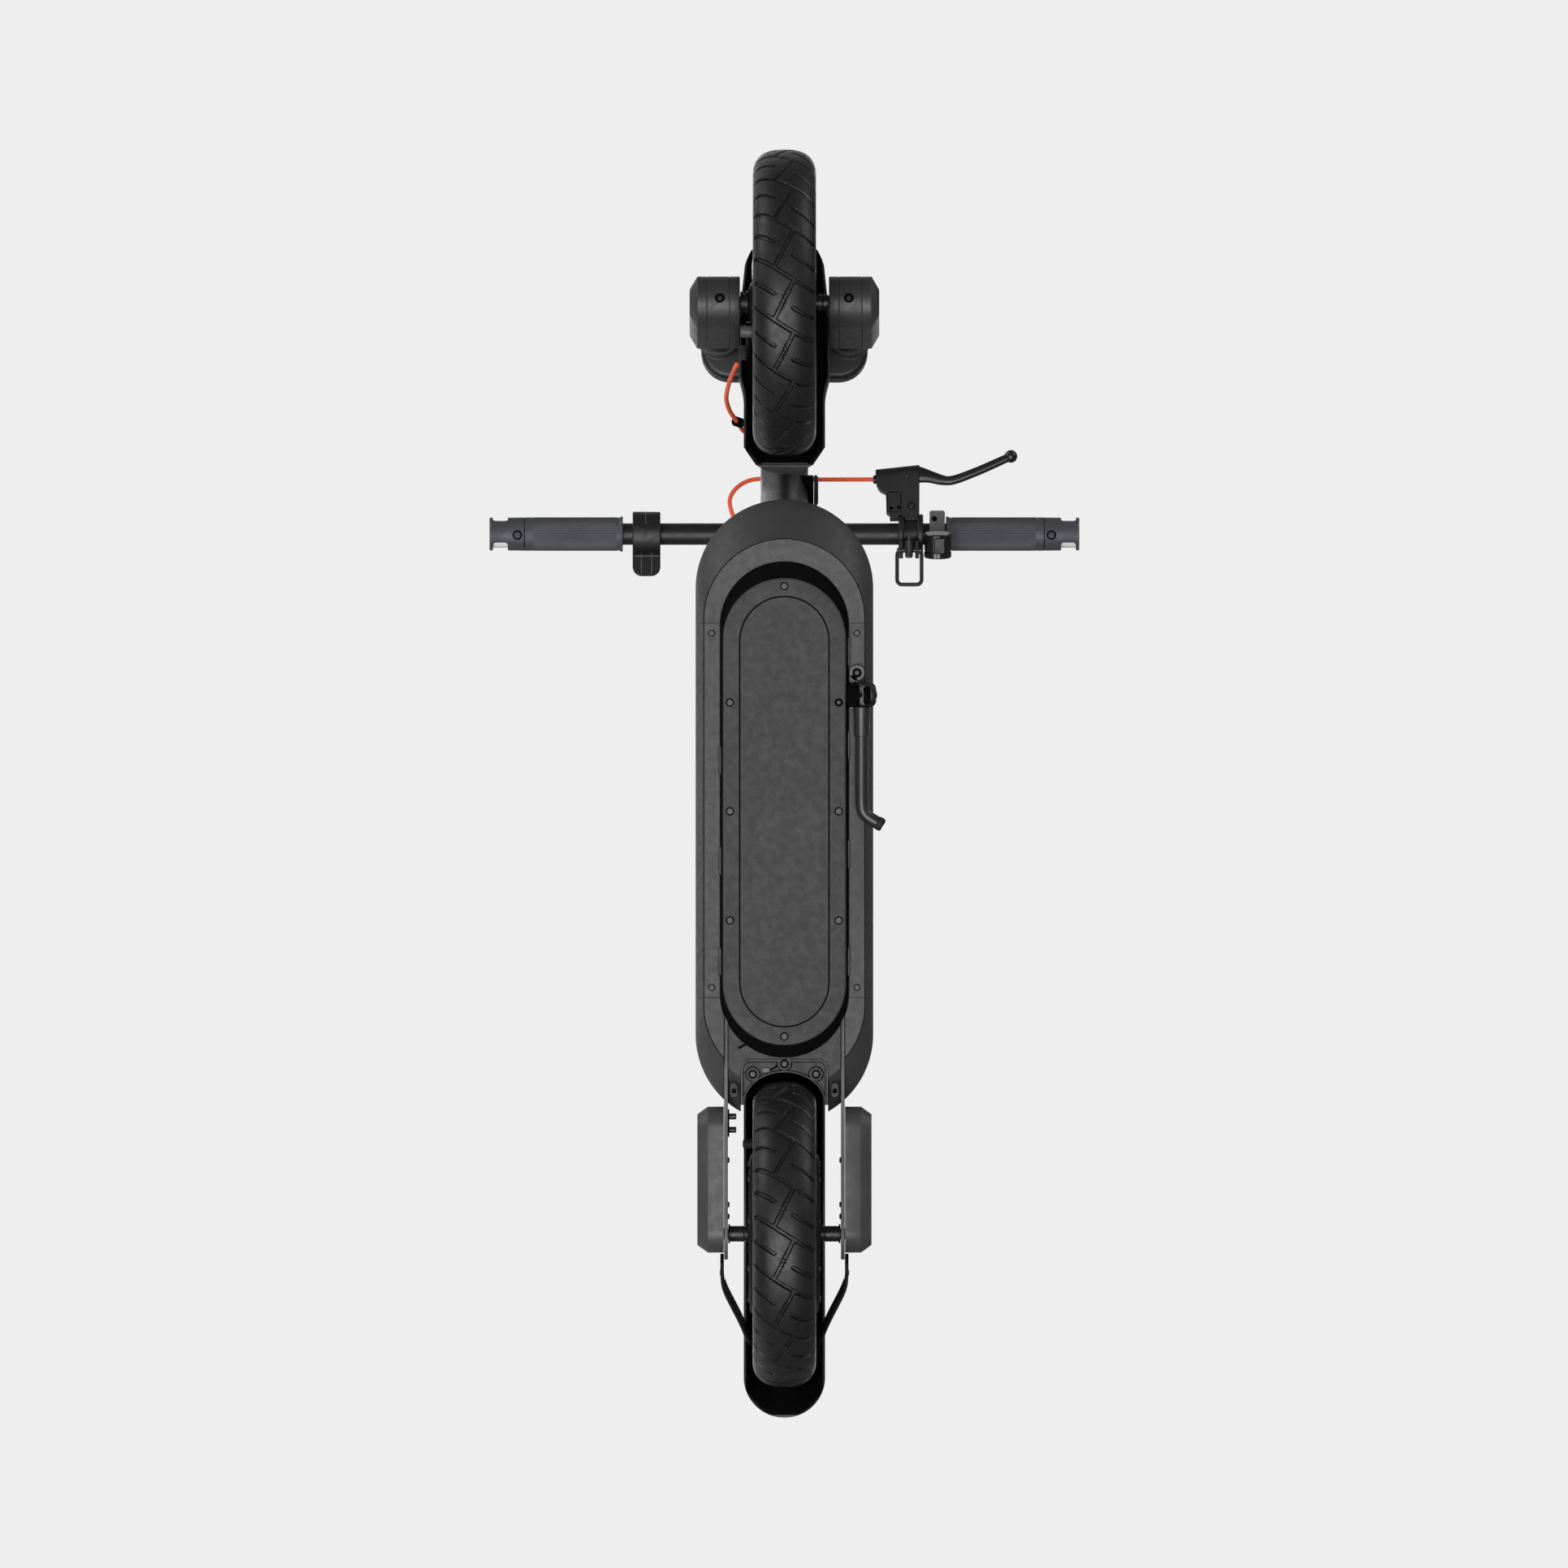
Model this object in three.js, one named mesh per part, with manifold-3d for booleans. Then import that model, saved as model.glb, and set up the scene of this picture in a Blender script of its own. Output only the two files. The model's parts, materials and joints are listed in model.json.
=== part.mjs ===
// A folding electric kick scooter, in millimetres: +X forward, +Y to the rider's left, +Z up.
// The origin is on the ground, halfway along the scooter.
import * as THREE from 'three';
import { mergeVertices } from 'three/addons/utils/BufferGeometryUtils.js';
import Module from 'manifold-3d';

const wasm = await Module();
wasm.setup();

// ---- Driving dimensions ----
const GAP = 0.3; // between neighbouring pieces

const TYRE_R = 141.5;
const TYRE_HALF_WIDTH = 29.25;
const REAR_AXLE_X = -416;
const AXLE_Z = TYRE_R;

const STEER_TILT = THREE.MathUtils.degToRad(11); // the steering axis leans back
const BAR_X = 230.6;
const BAR_Z = 1140;
const STEER_X0 = BAR_X + BAR_Z * Math.tan(STEER_TILT); // where the steering axis meets the ground
const BAR_W = BAR_Z / Math.cos(STEER_TILT); // the bar's place along the steering axis
const FORK_OFFSET = 19.4; // the axle stands this far ahead of the steering axis
const AXLE_W = 140.4;

const DECK_TOP = 158;
const DECK_BOTTOM = 112;
const DECK_HALF_WIDTH = 82.1;
const DECK_FRONT_CENTRE = 180.4; // centres of the deck outline's round ends
const DECK_REAR_CENTRE = -232.1;
const BAY_HALF_WIDTH = 59.25; // the sunken bay that the battery fills
const BAY_FRONT_CENTRE = 145.9;
const BAY_REAR_CENTRE = -193.9;
const BAY_TOP = 150;
const COVER_FACE_Z = 100;
const DECK_FLAT = [-205.1, 151.9, 75]; // rear centre, front centre and radius of the flat underside
const COVER_FACE = [-184.9, 133.1, 57]; // the same for the battery cover's face and for its foot
const COVER_FOOT = [-193.6, 145.6, 58.8];
const COVER_WALL = 2.5;

const PLATE_IN = 52.2; // inner and outer faces of the rear frame plates
const PLATE_OUT = 55.7;
const LEG_Y = 59.6;
const LEG_R = 16.5;
const CASING_IN = 41.1;
const CASING_OUT = 87.7;
const CASING_R = 24.2;
const CASING_LENGTH = 96; // between the centres of the casing's round ends

const HINGE_W = 489; // the fold hinge's pin along the steering axis
const BAR_R = 10;
const BAR_BORE = BAR_R + GAP;

// ---- Materials ----
const finish = (color, roughness, metalness) => new THREE.MeshStandardMaterial({ color, roughness, metalness });
const PLASTIC = finish(0x2c2c2e, 0.6, 0);
const COVER = finish(0x434345, 0.65, 0);
const BLACK = finish(0x151516, 0.5, 0);
const RUBBER = finish(0x18181a, 0.85, 0);
const GRIP = finish(0x42434b, 0.8, 0);
const PAINT = finish(0x2b2b2d, 0.45, 0.4);
const STEEL = finish(0x8a8a8c, 0.35, 1);
const CABLE = finish(0xc84828, 0.4, 0);
const CLEAR = finish(0xd8d8d8, 0.15, 0);
const RED = finish(0xa01818, 0.25, 0);

// ---- Solids ----

/** The volume of a closed indexed mesh, negative where its faces point inwards. */
function signedVolume(positions, index) {
  let volume = 0;
  for (let i = 0; i < index.length; i += 3) {
    const [a, b, c] = [0, 1, 2].map((k) => new THREE.Vector3().fromArray(positions, 3 * index[i + k]));
    volume += a.dot(b.cross(c)) / 6;
  }
  return volume;
}

/** A closed geometry as a manifold-3d solid with its faces pointing out. */
function solid(geometry) {
  const bare = new THREE.BufferGeometry();
  bare.setAttribute('position', geometry.getAttribute('position').clone());
  if (geometry.index) bare.setIndex(geometry.index);
  const merged = mergeVertices(bare, 1e-3);
  const positions = merged.attributes.position.array;
  const all = merged.index.array;
  const kept = [];
  for (let i = 0; i < all.length; i += 3) {
    const [a, b, c] = [all[i], all[i + 1], all[i + 2]];
    if (a !== b && b !== c && c !== a) kept.push(a, b, c);
  }
  if (signedVolume(positions, kept) < 0) kept.reverse();
  const mesh = new wasm.Mesh({ numProp: 3, vertProperties: positions, triVerts: new Uint32Array(kept) });
  return new wasm.Manifold(mesh);
}

/** A manifold-3d solid as a flat-shaded geometry. */
function geometryOf(manifold) {
  const mesh = manifold.getMesh();
  const geometry = new THREE.BufferGeometry();
  geometry.setAttribute('position', new THREE.BufferAttribute(new Float32Array(mesh.vertProperties), 3));
  geometry.setIndex(new THREE.BufferAttribute(new Uint32Array(mesh.triVerts), 1));
  const flat = geometry.toNonIndexed();
  flat.computeVertexNormals();
  return flat;
}

const join = (first, ...others) => geometryOf(others.reduce((sum, g) => sum.add(solid(g)), solid(first)));
const cut = (first, ...tools) => geometryOf(tools.reduce((sum, g) => sum.subtract(solid(g)), solid(first)));
const common = (a, b) => geometryOf(solid(a).intersect(solid(b)));
const mirrored = (geometry) => geometryOf(solid(geometry.clone().scale(1, -1, 1)));

// ---- Shapes ----

/** A box between two corners. */
function box(x0, x1, y0, y1, z0, z1) {
  const centre = [(x0 + x1) / 2, (y0 + y1) / 2, (z0 + z1) / 2];
  return new THREE.BoxGeometry(x1 - x0, y1 - y0, z1 - z0).translate(...centre);
}

/** A cylinder across the scooter, between two y values. */
function across(radius, y0, y1, x, z, sides = 16) {
  return new THREE.CylinderGeometry(radius, radius, y1 - y0, sides).translate(x, (y0 + y1) / 2, z);
}

/** An upright cylinder between two z values. */
function upright(radius, z0, z1, x, y, sides = 20, topRadius = radius) {
  const post = new THREE.CylinderGeometry(topRadius, radius, z1 - z0, sides).rotateX(Math.PI / 2);
  return post.translate(x, y, (z0 + z1) / 2);
}

/** A cylinder along the scooter, between two x values. */
function lengthways(radius, x0, x1, y, z, sides = 12) {
  const post = new THREE.CylinderGeometry(radius, radius, x1 - x0, sides).rotateZ(Math.PI / 2);
  return post.translate((x0 + x1) / 2, y, z);
}

/** A ring round the y axis, from a closed profile of [radius, y] points. */
function turned(profile, x, z, sides) {
  const points = [...profile, profile[0]].map(([r, y]) => new THREE.Vector2(r, y));
  return new THREE.LatheGeometry(points, sides).translate(x, 0, z);
}

/** A tube between two y values. */
const sleeve = (inner, outer, y0, y1, x = 0, z = 0, sides = 20) =>
  turned([[inner, y0], [outer, y0], [outer, y1], [inner, y1]], x, z, sides);

/** A closed outline: a rectangle with round corners, drawn as one ring of points. */
function roundedOutline(x0, x1, y0, y1, corner, steps = 4) {
  const points = [];
  const corners = [[x1 - corner, y1 - corner], [x0 + corner, y1 - corner],
    [x0 + corner, y0 + corner], [x1 - corner, y0 + corner]];
  corners.forEach(([cx, cy], quarter) => {
    for (let i = 0; i <= steps; i += 1) {
      const angle = (quarter + i / steps) * Math.PI / 2;
      points.push([cx + corner * Math.cos(angle), cy + corner * Math.sin(angle)]);
    }
  });
  return points;
}

/** A stadium: two round ends of one radius with straight sides. */
const stadium = (rear, front, radius, steps = 8) =>
  roundedOutline(rear - radius, front + radius, -radius, radius, radius - 0.01, steps);

/** A solid through outlines of equal length, each [outline, z], from the lowest to the highest. */
function loft(levels) {
  const count = levels[0][0].length;
  const positions = levels.flatMap(([outline, z]) => outline.flatMap(([x, y]) => [x, y, z]));
  const index = [];
  for (let level = 0; level < levels.length - 1; level += 1) {
    for (let i = 0; i < count; i += 1) {
      const a = level * count + i;
      const b = level * count + (i + 1) % count;
      index.push(a, b, b + count, a, b + count, a + count);
    }
  }
  const top = (levels.length - 1) * count;
  for (let i = 1; i < count - 1; i += 1) {
    index.push(0, i + 1, i);
    index.push(top, top + i, top + i + 1);
  }
  const geometry = new THREE.BufferGeometry();
  geometry.setAttribute('position', new THREE.Float32BufferAttribute(positions, 3));
  geometry.setIndex(index);
  return geometry;
}

/** A solid through outlines in the side view (x, z), each [outline, y]. */
const sideLoft = (levels) => loft(levels.map(([outline, y]) => [outline, -y])).rotateX(Math.PI / 2);

/** A flat plate with a plan outline, between two z values. */
const planPlate = (outline, z0, z1) =>
  new THREE.ExtrudeGeometry(new THREE.Shape(outline.map(([x, y]) => new THREE.Vector2(x, y))),
    { depth: z1 - z0, bevelEnabled: false }).translate(0, 0, z0);

/** A flat plate with a side-view outline (x, z), between two y values. */
const sidePlate = (outline, y0, y1) => planPlate(outline, 0, y1 - y0).rotateX(Math.PI / 2).translate(0, y1, 0);

/** A round tube along a smooth curve; the inner radius is 0 for a solid rod. */
function bentTube(points, radius, inner = 0, steps = 10, sides = 5) {
  const section = new THREE.Shape().absarc(0, 0, radius, 0, 2 * Math.PI);
  if (inner > 0) section.holes.push(new THREE.Path().absarc(0, 0, inner, 0, 2 * Math.PI, true));
  const curve = new THREE.CatmullRomCurve3(points.map((p) => new THREE.Vector3(...p)));
  return new THREE.ExtrudeGeometry(section, { extrudePath: curve, steps, curveSegments: sides });
}

/** A pie slice in the side view, from one angle to another in degrees above +X. */
function slice(x, z, from, to, radius, halfWidth) {
  const outline = [[x, z]];
  const steps = Math.ceil((to - from) / 30);
  for (let i = 0; i <= steps; i += 1) {
    const angle = THREE.MathUtils.degToRad(from + (to - from) * i / steps);
    outline.push([x + radius * Math.cos(angle), z + radius * Math.sin(angle)]);
  }
  return sidePlate(outline, -halfWidth, halfWidth);
}

// ---- Assembly ----
const scooter = new THREE.Group();
const steered = new THREE.Group(); // its z axis is the steering axis
steered.position.x = STEER_X0;
steered.rotation.y = -STEER_TILT;
const cockpit = new THREE.Group(); // its origin is the middle of the handlebar
cockpit.position.z = BAR_W;
scooter.add(steered);
steered.add(cockpit);

/** Adds a named mesh to a group. */
function piece(parent, name, geometry, material) {
  const mesh = new THREE.Mesh(geometryOf(solid(geometry)), material);
  mesh.name = name;
  parent.add(mesh);
}

/** Adds a piece for the left side (+y) and its mirror image for the right. */
function pair(parent, name, geometry, material) {
  piece(parent, `${name}_left`, geometry, material);
  piece(parent, `${name}_right`, mirrored(geometry), material);
}

/** A point of the cockpit's x axis that lies over a given ground x, at a height z in the cockpit. */
const reach = (groundX, z = 0) => (groundX - BAR_X + z * Math.sin(STEER_TILT)) / Math.cos(STEER_TILT);

// ---- Deck ----
const RAIL_FRONT = 148.1;
const RAIL_REAR = -197.6;
const RAIL_TOP = 130;
const ARCH_FRONT = -254.3; // front of the notch for the rear wheel
const ARCH_HALF_WIDTH = 41;
const RECESS = 3; // depth of the step between the rear plates
const PLATE_FRONT = -210; // front ends of the rear plates
const PLATE_LOW = 120; // their nose's lower and upper edges
const PLATE_HIGH = 147;
const MAT_TOP = 162;

const NECK = [[234, 0, 147], [243, 0, 210], [260, 0, 295], [284, 0, 358], [322, 0, 396], [376, 0, 408]];
const NECK_R = 22;
const NECK_WALL = 3.5;

function deckOutside() {
  return loft([
    [stadium(...DECK_FLAT), DECK_BOTTOM],
    [stadium(-210, 158, 77.5), DECK_BOTTOM + 3],
    [stadium(-221, 171, 80.8), DECK_BOTTOM + 14],
    [stadium(DECK_REAR_CENTRE, DECK_FRONT_CENTRE, DECK_HALF_WIDTH), DECK_BOTTOM + 32],
    [stadium(DECK_REAR_CENTRE, DECK_FRONT_CENTRE, DECK_HALF_WIDTH), DECK_TOP - 3],
    [stadium(DECK_REAR_CENTRE, DECK_FRONT_CENTRE, DECK_HALF_WIDTH - 1.5), DECK_TOP],
  ]);
}

function railZone(side, gap) {
  const inner = BAY_HALF_WIDTH + 0.5 - gap;
  const ends = [RAIL_REAR - gap, RAIL_FRONT + gap];
  const sides = side > 0 ? [inner, 90] : [-90, -inner];
  return box(...ends, ...sides, DECK_BOTTOM - 5, RAIL_TOP + gap);
}

function deckShell() {
  const bay = planPlate(stadium(BAY_REAR_CENTRE, BAY_FRONT_CENTRE, BAY_HALF_WIDTH), DECK_BOTTOM - 5, BAY_TOP);
  const arch = box(-340, ARCH_FRONT, -ARCH_HALF_WIDTH, ARCH_HALF_WIDTH, 90, 180);
  const slots = [1, -1].map((side) => {
    const middle = side * (PLATE_IN + PLATE_OUT) / 2;
    const half = (PLATE_OUT - PLATE_IN) / 2 + GAP + 0.05;
    return box(-340, PLATE_FRONT + GAP, middle - half, middle + half, 90, PLATE_HIGH + 2);
  });
  const recess = box(-340, BAY_REAR_CENTRE, -PLATE_IN, PLATE_IN, 90, DECK_BOTTOM + RECESS);
  const neckHole = bentTube(NECK, NECK_R + GAP);
  return cut(deckOutside(), bay, arch, recess, ...slots, railZone(1, GAP), railZone(-1, GAP), neckHole);
}

const PACK_PLAN = [-105, 120, 50]; // rear centre, front centre and radius
const CONTROLLER_X = [-222, -165];

function battery() {
  const inside = ([rear, front, radius], wall) => stadium(rear, front, radius - wall);
  const face = [[stadium(...COVER_FACE), COVER_FACE_Z], [stadium(...COVER_FOOT), DECK_BOTTOM],
    [stadium(...COVER_FOOT), DECK_BOTTOM + 5]];
  const hollow = [[inside(COVER_FACE, COVER_WALL + 0.5), COVER_FACE_Z + COVER_WALL],
    [inside(COVER_FOOT, COVER_WALL), DECK_BOTTOM], [inside(COVER_FOOT, COVER_WALL), DECK_BOTTOM + 8]];
  piece(scooter, 'battery_cover', cut(loft(face), loft(hollow)), COVER);
  const pack = planPlate(stadium(...PACK_PLAN, 5), COVER_FACE_Z + 4, BAY_TOP - 3);
  piece(scooter, 'battery_pack', pack, PLASTIC);
  piece(scooter, 'controller', box(...CONTROLLER_X, -36, 36, COVER_FACE_Z + 8, BAY_TOP - 8), STEEL);
}

function deck() {
  piece(scooter, 'deck_shell', deckShell(), PLASTIC);
  pair(scooter, 'side_rail', common(deckOutside(), railZone(1, 0)), PLASTIC);
  const mat = planPlate(stadium(DECK_REAR_CENTRE, DECK_FRONT_CENTRE, DECK_HALF_WIDTH - 6), DECK_TOP + GAP, MAT_TOP);
  const matArch = box(-340, ARCH_FRONT + 4, -ARCH_HALF_WIDTH - 4, ARCH_HALF_WIDTH + 4, 150, 170);
  piece(scooter, 'deck_mat', cut(mat, matArch, bentTube(NECK, NECK_R + 1)), RUBBER);
  battery();
}

// ---- Neck and head tube ----
const HEAD_BOTTOM = 358;
const HEAD_TOP = 448;
const HEAD_R = 24;
const STEERER_R = 15;
const BEARING_R = 20;
const BEARING_SEAT = 9;

function neck() {
  const headSpace = new THREE.CylinderGeometry(HEAD_R + GAP, HEAD_R + GAP, 400, 32);
  headSpace.rotateX(Math.PI / 2).translate(0, 0, 400).rotateY(-STEER_TILT).translate(STEER_X0, 0, 0);
  piece(scooter, 'neck_tube', cut(bentTube(NECK, NECK_R, NECK_R - NECK_WALL), headSpace), PAINT);
  const seats = [[HEAD_BOTTOM - 1, HEAD_BOTTOM + BEARING_SEAT], [HEAD_TOP - BEARING_SEAT, HEAD_TOP + 1]];
  const bore = upright(STEERER_R + 2, HEAD_BOTTOM - 1, HEAD_TOP + 1, 0, 0);
  const pockets = seats.map(([low, high]) => upright(BEARING_R + GAP, low, high, 0, 0));
  piece(steered, 'head_tube', cut(upright(HEAD_R, HEAD_BOTTOM, HEAD_TOP, 0, 0, 24), bore, ...pockets), PAINT);
  const bearing = (low, high) => cut(upright(BEARING_R, low, high, 0, 0),
    upright(STEERER_R + GAP, low - 1, high + 1, 0, 0));
  piece(steered, 'headset_bearing_lower', bearing(HEAD_BOTTOM + 1, HEAD_BOTTOM + BEARING_SEAT - GAP), STEEL);
  piece(steered, 'headset_bearing_upper', bearing(HEAD_TOP - BEARING_SEAT + GAP, HEAD_TOP - 1), STEEL);
}

const PORT_X = 271;
const PORT_Z = 318;
const PORT_R = 14;
const PORT_FACE = 27; // the socket's face, and the cap's
const CAP_FACE = 31.3;

function chargePort() {
  const boss = cut(across(PORT_R, 12, PORT_FACE, PORT_X, PORT_Z), bentTube(NECK, NECK_R + GAP));
  piece(scooter, 'charge_port', boss, BLACK);
  const hinge = lengthways(2, PORT_X - 5, PORT_X + 5, CAP_FACE - 2, PORT_Z + PORT_R + 2);
  const top = PORT_Z + PORT_R;
  const strap = box(PORT_X - 4, PORT_X + 4, PORT_FACE + 1, CAP_FACE - 0.7, top - 2, top + 2);
  const cap = join(across(PORT_R, PORT_FACE + GAP, CAP_FACE, PORT_X, PORT_Z), hinge, strap);
  piece(scooter, 'charge_port_cap', cap, RUBBER);
}

// ---- Wheels ----
const WHEEL_SIDES = 28;
const BEAD_R = 89;
const RIM_R = 95;
const RIM_HALF_WIDTH = 22;
// One half of the tyre's outside, from the bead to the tread, and of its inside, from the tread to the bead.
const TYRE_OUTSIDE = [[BEAD_R + 0.4, 18.8], [RIM_R, 18.8], [117, TYRE_HALF_WIDTH], [132, 25], [TYRE_R, 6]];
const TYRE_INSIDE = [[135, 10], [117, 24], [BEAD_R + 0.4, 14]];

/** The same [radius, y] points on the other side of the middle plane, in reverse order. */
const otherHalf = (profile) => [...profile].reverse().map(([r, y]) => [r, -y]);

function tyre(x) {
  const outside = [...TYRE_OUTSIDE, ...otherHalf(TYRE_OUTSIDE)];
  const inside = [...otherHalf(TYRE_INSIDE), ...TYRE_INSIDE];
  return turned([...outside, ...inside], x, AXLE_Z, WHEEL_SIDES);
}

/** Half of a rim's edge, from the flange's foot to the tyre's seat. */
const RIM_EDGE = [[84, RIM_HALF_WIDTH - 1], [RIM_R, RIM_HALF_WIDTH], [RIM_R, 19.2], [BEAD_R, 19.2]];

/** A stepped shaft across the scooter, from one half's [radius, y] points; the other half mirrors it. */
function shaft(half) {
  const end = half[half.length - 1][1];
  const profile = [[0, -end], ...otherHalf(half), ...half, [0, end]];
  return new THREE.LatheGeometry(profile.map(([r, y]) => new THREE.Vector2(r, y)), 14);
}

const MOTOR_R = 75;
const MOTOR_HALF_WIDTH = 34;
const MOTOR_BORE = 10.5;
const MOTOR_INSIDE = [67, 30]; // radius and half width of the cavity
const AXLE_R = 5; // the rear axle's ends, its collars and its washers
const COLLAR_R = 7.3;
const WASHER_R = 9;
const AXLE_END = 63;

function motorShell() {
  const side = [[MOTOR_BORE, MOTOR_HALF_WIDTH], [MOTOR_R - 4, MOTOR_HALF_WIDTH], [MOTOR_R, RIM_HALF_WIDTH - 2],
    ...RIM_EDGE];
  const [radius, half] = MOTOR_INSIDE;
  const cavity = [[MOTOR_BORE, -half], [radius, -half], [radius, half], [MOTOR_BORE, half]];
  return turned([...side, ...otherHalf(side), ...cavity], REAR_AXLE_X, AXLE_Z, WHEEL_SIDES);
}

function rearWheel() {
  piece(scooter, 'rear_tyre', tyre(REAR_AXLE_X), RUBBER);
  piece(scooter, 'motor_shell', motorShell(), BLACK);
  piece(scooter, 'motor_stator', sleeve(COLLAR_R + GAP, 60, -24, 24, REAR_AXLE_X, AXLE_Z), STEEL);
  const half = [[COLLAR_R, PLATE_IN - 1.8], [WASHER_R, PLATE_IN - 1.8], [WASHER_R, PLATE_IN - GAP],
    [AXLE_R, PLATE_IN - GAP], [AXLE_R, PLATE_OUT + GAP], [WASHER_R, PLATE_OUT + GAP], [WASHER_R, AXLE_END]];
  piece(scooter, 'rear_axle', shaft(half).translate(REAR_AXLE_X, 0, AXLE_Z), STEEL);
}

// ---- Rear frame ----
const PLATE_END_R = 23.9; // the plates' round ends about the axle

function rearPlates() {
  const nose = [[PLATE_FRONT, PLATE_LOW], [PLATE_FRONT, PLATE_HIGH], [-304, PLATE_HIGH], [-330, 162]];
  const end = [];
  for (let i = 0; i <= 8; i += 1) {
    const angle = Math.PI * (0.5 + i / 8);
    end.push([REAR_AXLE_X + PLATE_END_R * Math.cos(angle), AXLE_Z + PLATE_END_R * Math.sin(angle)]);
  }
  const bore = across(AXLE_R + GAP, PLATE_IN - 1, PLATE_OUT + 1, REAR_AXLE_X, AXLE_Z);
  pair(scooter, 'rear_plate', cut(sidePlate([...nose, ...end, [-300, 118]], PLATE_IN, PLATE_OUT), bore), PAINT);
}

const SIDE_COVER = { x0: -433.5, x1: -298.4, z0: 114, z1: 168, corner: 20 };
const SIDE_COVER_SHOULDER = 70.9; // where the chamfer starts, and the flat face outside it
const SIDE_COVER_FACE = 80.5;
const SIDE_COVER_WALL = 2.5;

function rearCovers() {
  const { x0, x1, z0, z1, corner } = SIDE_COVER;
  const outline = (inset) => roundedOutline(x0 + inset, x1 - inset, z0 + inset, z1 - inset, corner - inset);
  const outside = sideLoft([[outline(0), PLATE_OUT + GAP], [outline(0), SIDE_COVER_SHOULDER],
    [outline(7.2), SIDE_COVER_FACE]]);
  const inside = sideLoft([[outline(SIDE_COVER_WALL), PLATE_OUT - 1],
    [outline(SIDE_COVER_WALL), SIDE_COVER_SHOULDER - 0.9], [outline(9.5), SIDE_COVER_FACE - 3]]);
  pair(scooter, 'rear_cover', cut(outside, inside), PLASTIC);
}

const BRACKET_REAR = -297;
const ARCH_R = 33.5; // the bracket's round opening for the tyre

function rearBracket() {
  const plate = planPlate(roundedOutline(BRACKET_REAR - 20, -254.6, -40.5, 40.5, 9), 112.5, 120);
  const wheelSpace = upright(ARCH_R, 100, 130, BRACKET_REAR, 0, 24);
  return cut(plate, box(BRACKET_REAR - 40, BRACKET_REAR, -60, 60, 100, 130), wheelSpace,
    box(BRACKET_REAR - 1, BRACKET_REAR + 29, -29, 29, 100, 130));
}

const FENDER_CENTRE = [-424, 150];
const FENDER_R = 162;
const FENDER_HALF_WIDTH = 37.6;
const TAIL_X = -586; // the scooter's rearmost point

/** An arched channel over a wheel: flat outside, round shoulders and side walls that reach inwards. */
function channel([x, z], radius, halfWidth, wall, depth, sides) {
  const outer = [[radius - depth, halfWidth], [radius - 7, halfWidth], [radius, halfWidth - 11]];
  const inner = [[radius - wall, halfWidth - 12], [radius - wall - 6, halfWidth - wall],
    [radius - depth, halfWidth - wall]];
  return turned([...outer, ...otherHalf(outer), ...otherHalf(inner), ...inner], x, z, sides);
}

function rearFender() {
  const arch = channel(FENDER_CENTRE, FENDER_R, FENDER_HALF_WIDTH, 2.8, 24, 28);
  const span = slice(...FENDER_CENTRE, 0, 184, 260, 60);
  const side = FENDER_HALF_WIDTH + 0.1;
  const tail = planPlate(roundedOutline(TAIL_X, -240, -side, side, FENDER_HALF_WIDTH, 8), 0, 400);
  const nose = box(-330, -240, -side, side, 0, 400);
  piece(scooter, 'rear_fender', common(common(arch, span), join(tail, nose)), BLACK);
}

const STAY_THICKNESS = 3.4;

/** A flat strip that rises from the plates' ends and crosses over the tyre inside the fender. */
function fenderStay() {
  const rise = Math.atan2(121, 97); // its slope over the ground
  const side = [[8, 59.3], [40, 59.1], [62, 53.2], [118, 37.7], [137, 27]];
  const outer = [...side, [152, 12], [155, 0], [152, -12], ...[...side].reverse().map(([s, y]) => [s, -y])];
  const middle = outer.slice(1, -1).map(([s, y]) => [s - STAY_THICKNESS * (Math.abs(y) < 28 ? 0.8 : 0.15),
    y - Math.sign(y) * STAY_THICKNESS * (Math.abs(y) < 28 ? 0.55 : 1)]);
  const inner = [[8, 55.9], ...middle, [8, -55.9]].reverse();
  const strip = planPlate([...outer, ...inner], -6, 6);
  return strip.scale(-1, 1, 1).rotateY(rise).translate(REAR_AXLE_X - 18, 0, AXLE_Z);
}

function tailLight() {
  const lamp = roundedOutline(-9, 9, -22, 22, 6);
  const angle = THREE.MathUtils.degToRad(52); // behind the upright
  const lampFace = roundedOutline(-6, 6, -19, 19, 4);
  const block = loft([[lamp, FENDER_R + 1.2], [lamp, FENDER_R + 5], [lampFace, FENDER_R + 8]]);
  return block.rotateY(-angle).translate(FENDER_CENTRE[0], 0, FENDER_CENTRE[1]);
}

function rearEnd() {
  rearPlates();
  rearCovers();
  piece(scooter, 'rear_bracket', rearBracket(), BLACK);
  rearFender();
  piece(scooter, 'fender_stay', fenderStay(), PAINT);
  piece(scooter, 'tail_light', tailLight(), RED);
}

// ---- Kickstand ----
const STAND = [82, 71.5, 98]; // middle of the pivot
const STAND_LEAN = THREE.MathUtils.degToRad(25);
const STAND_ROD_R = 5.1;
const STAND_SLEEVE_R = 7.1;
const STAND_KNUCKLE_R = 8;
const STAND_PIN_R = 3.5;
const STAND_BOLT = [102.4, 67.1];

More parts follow.
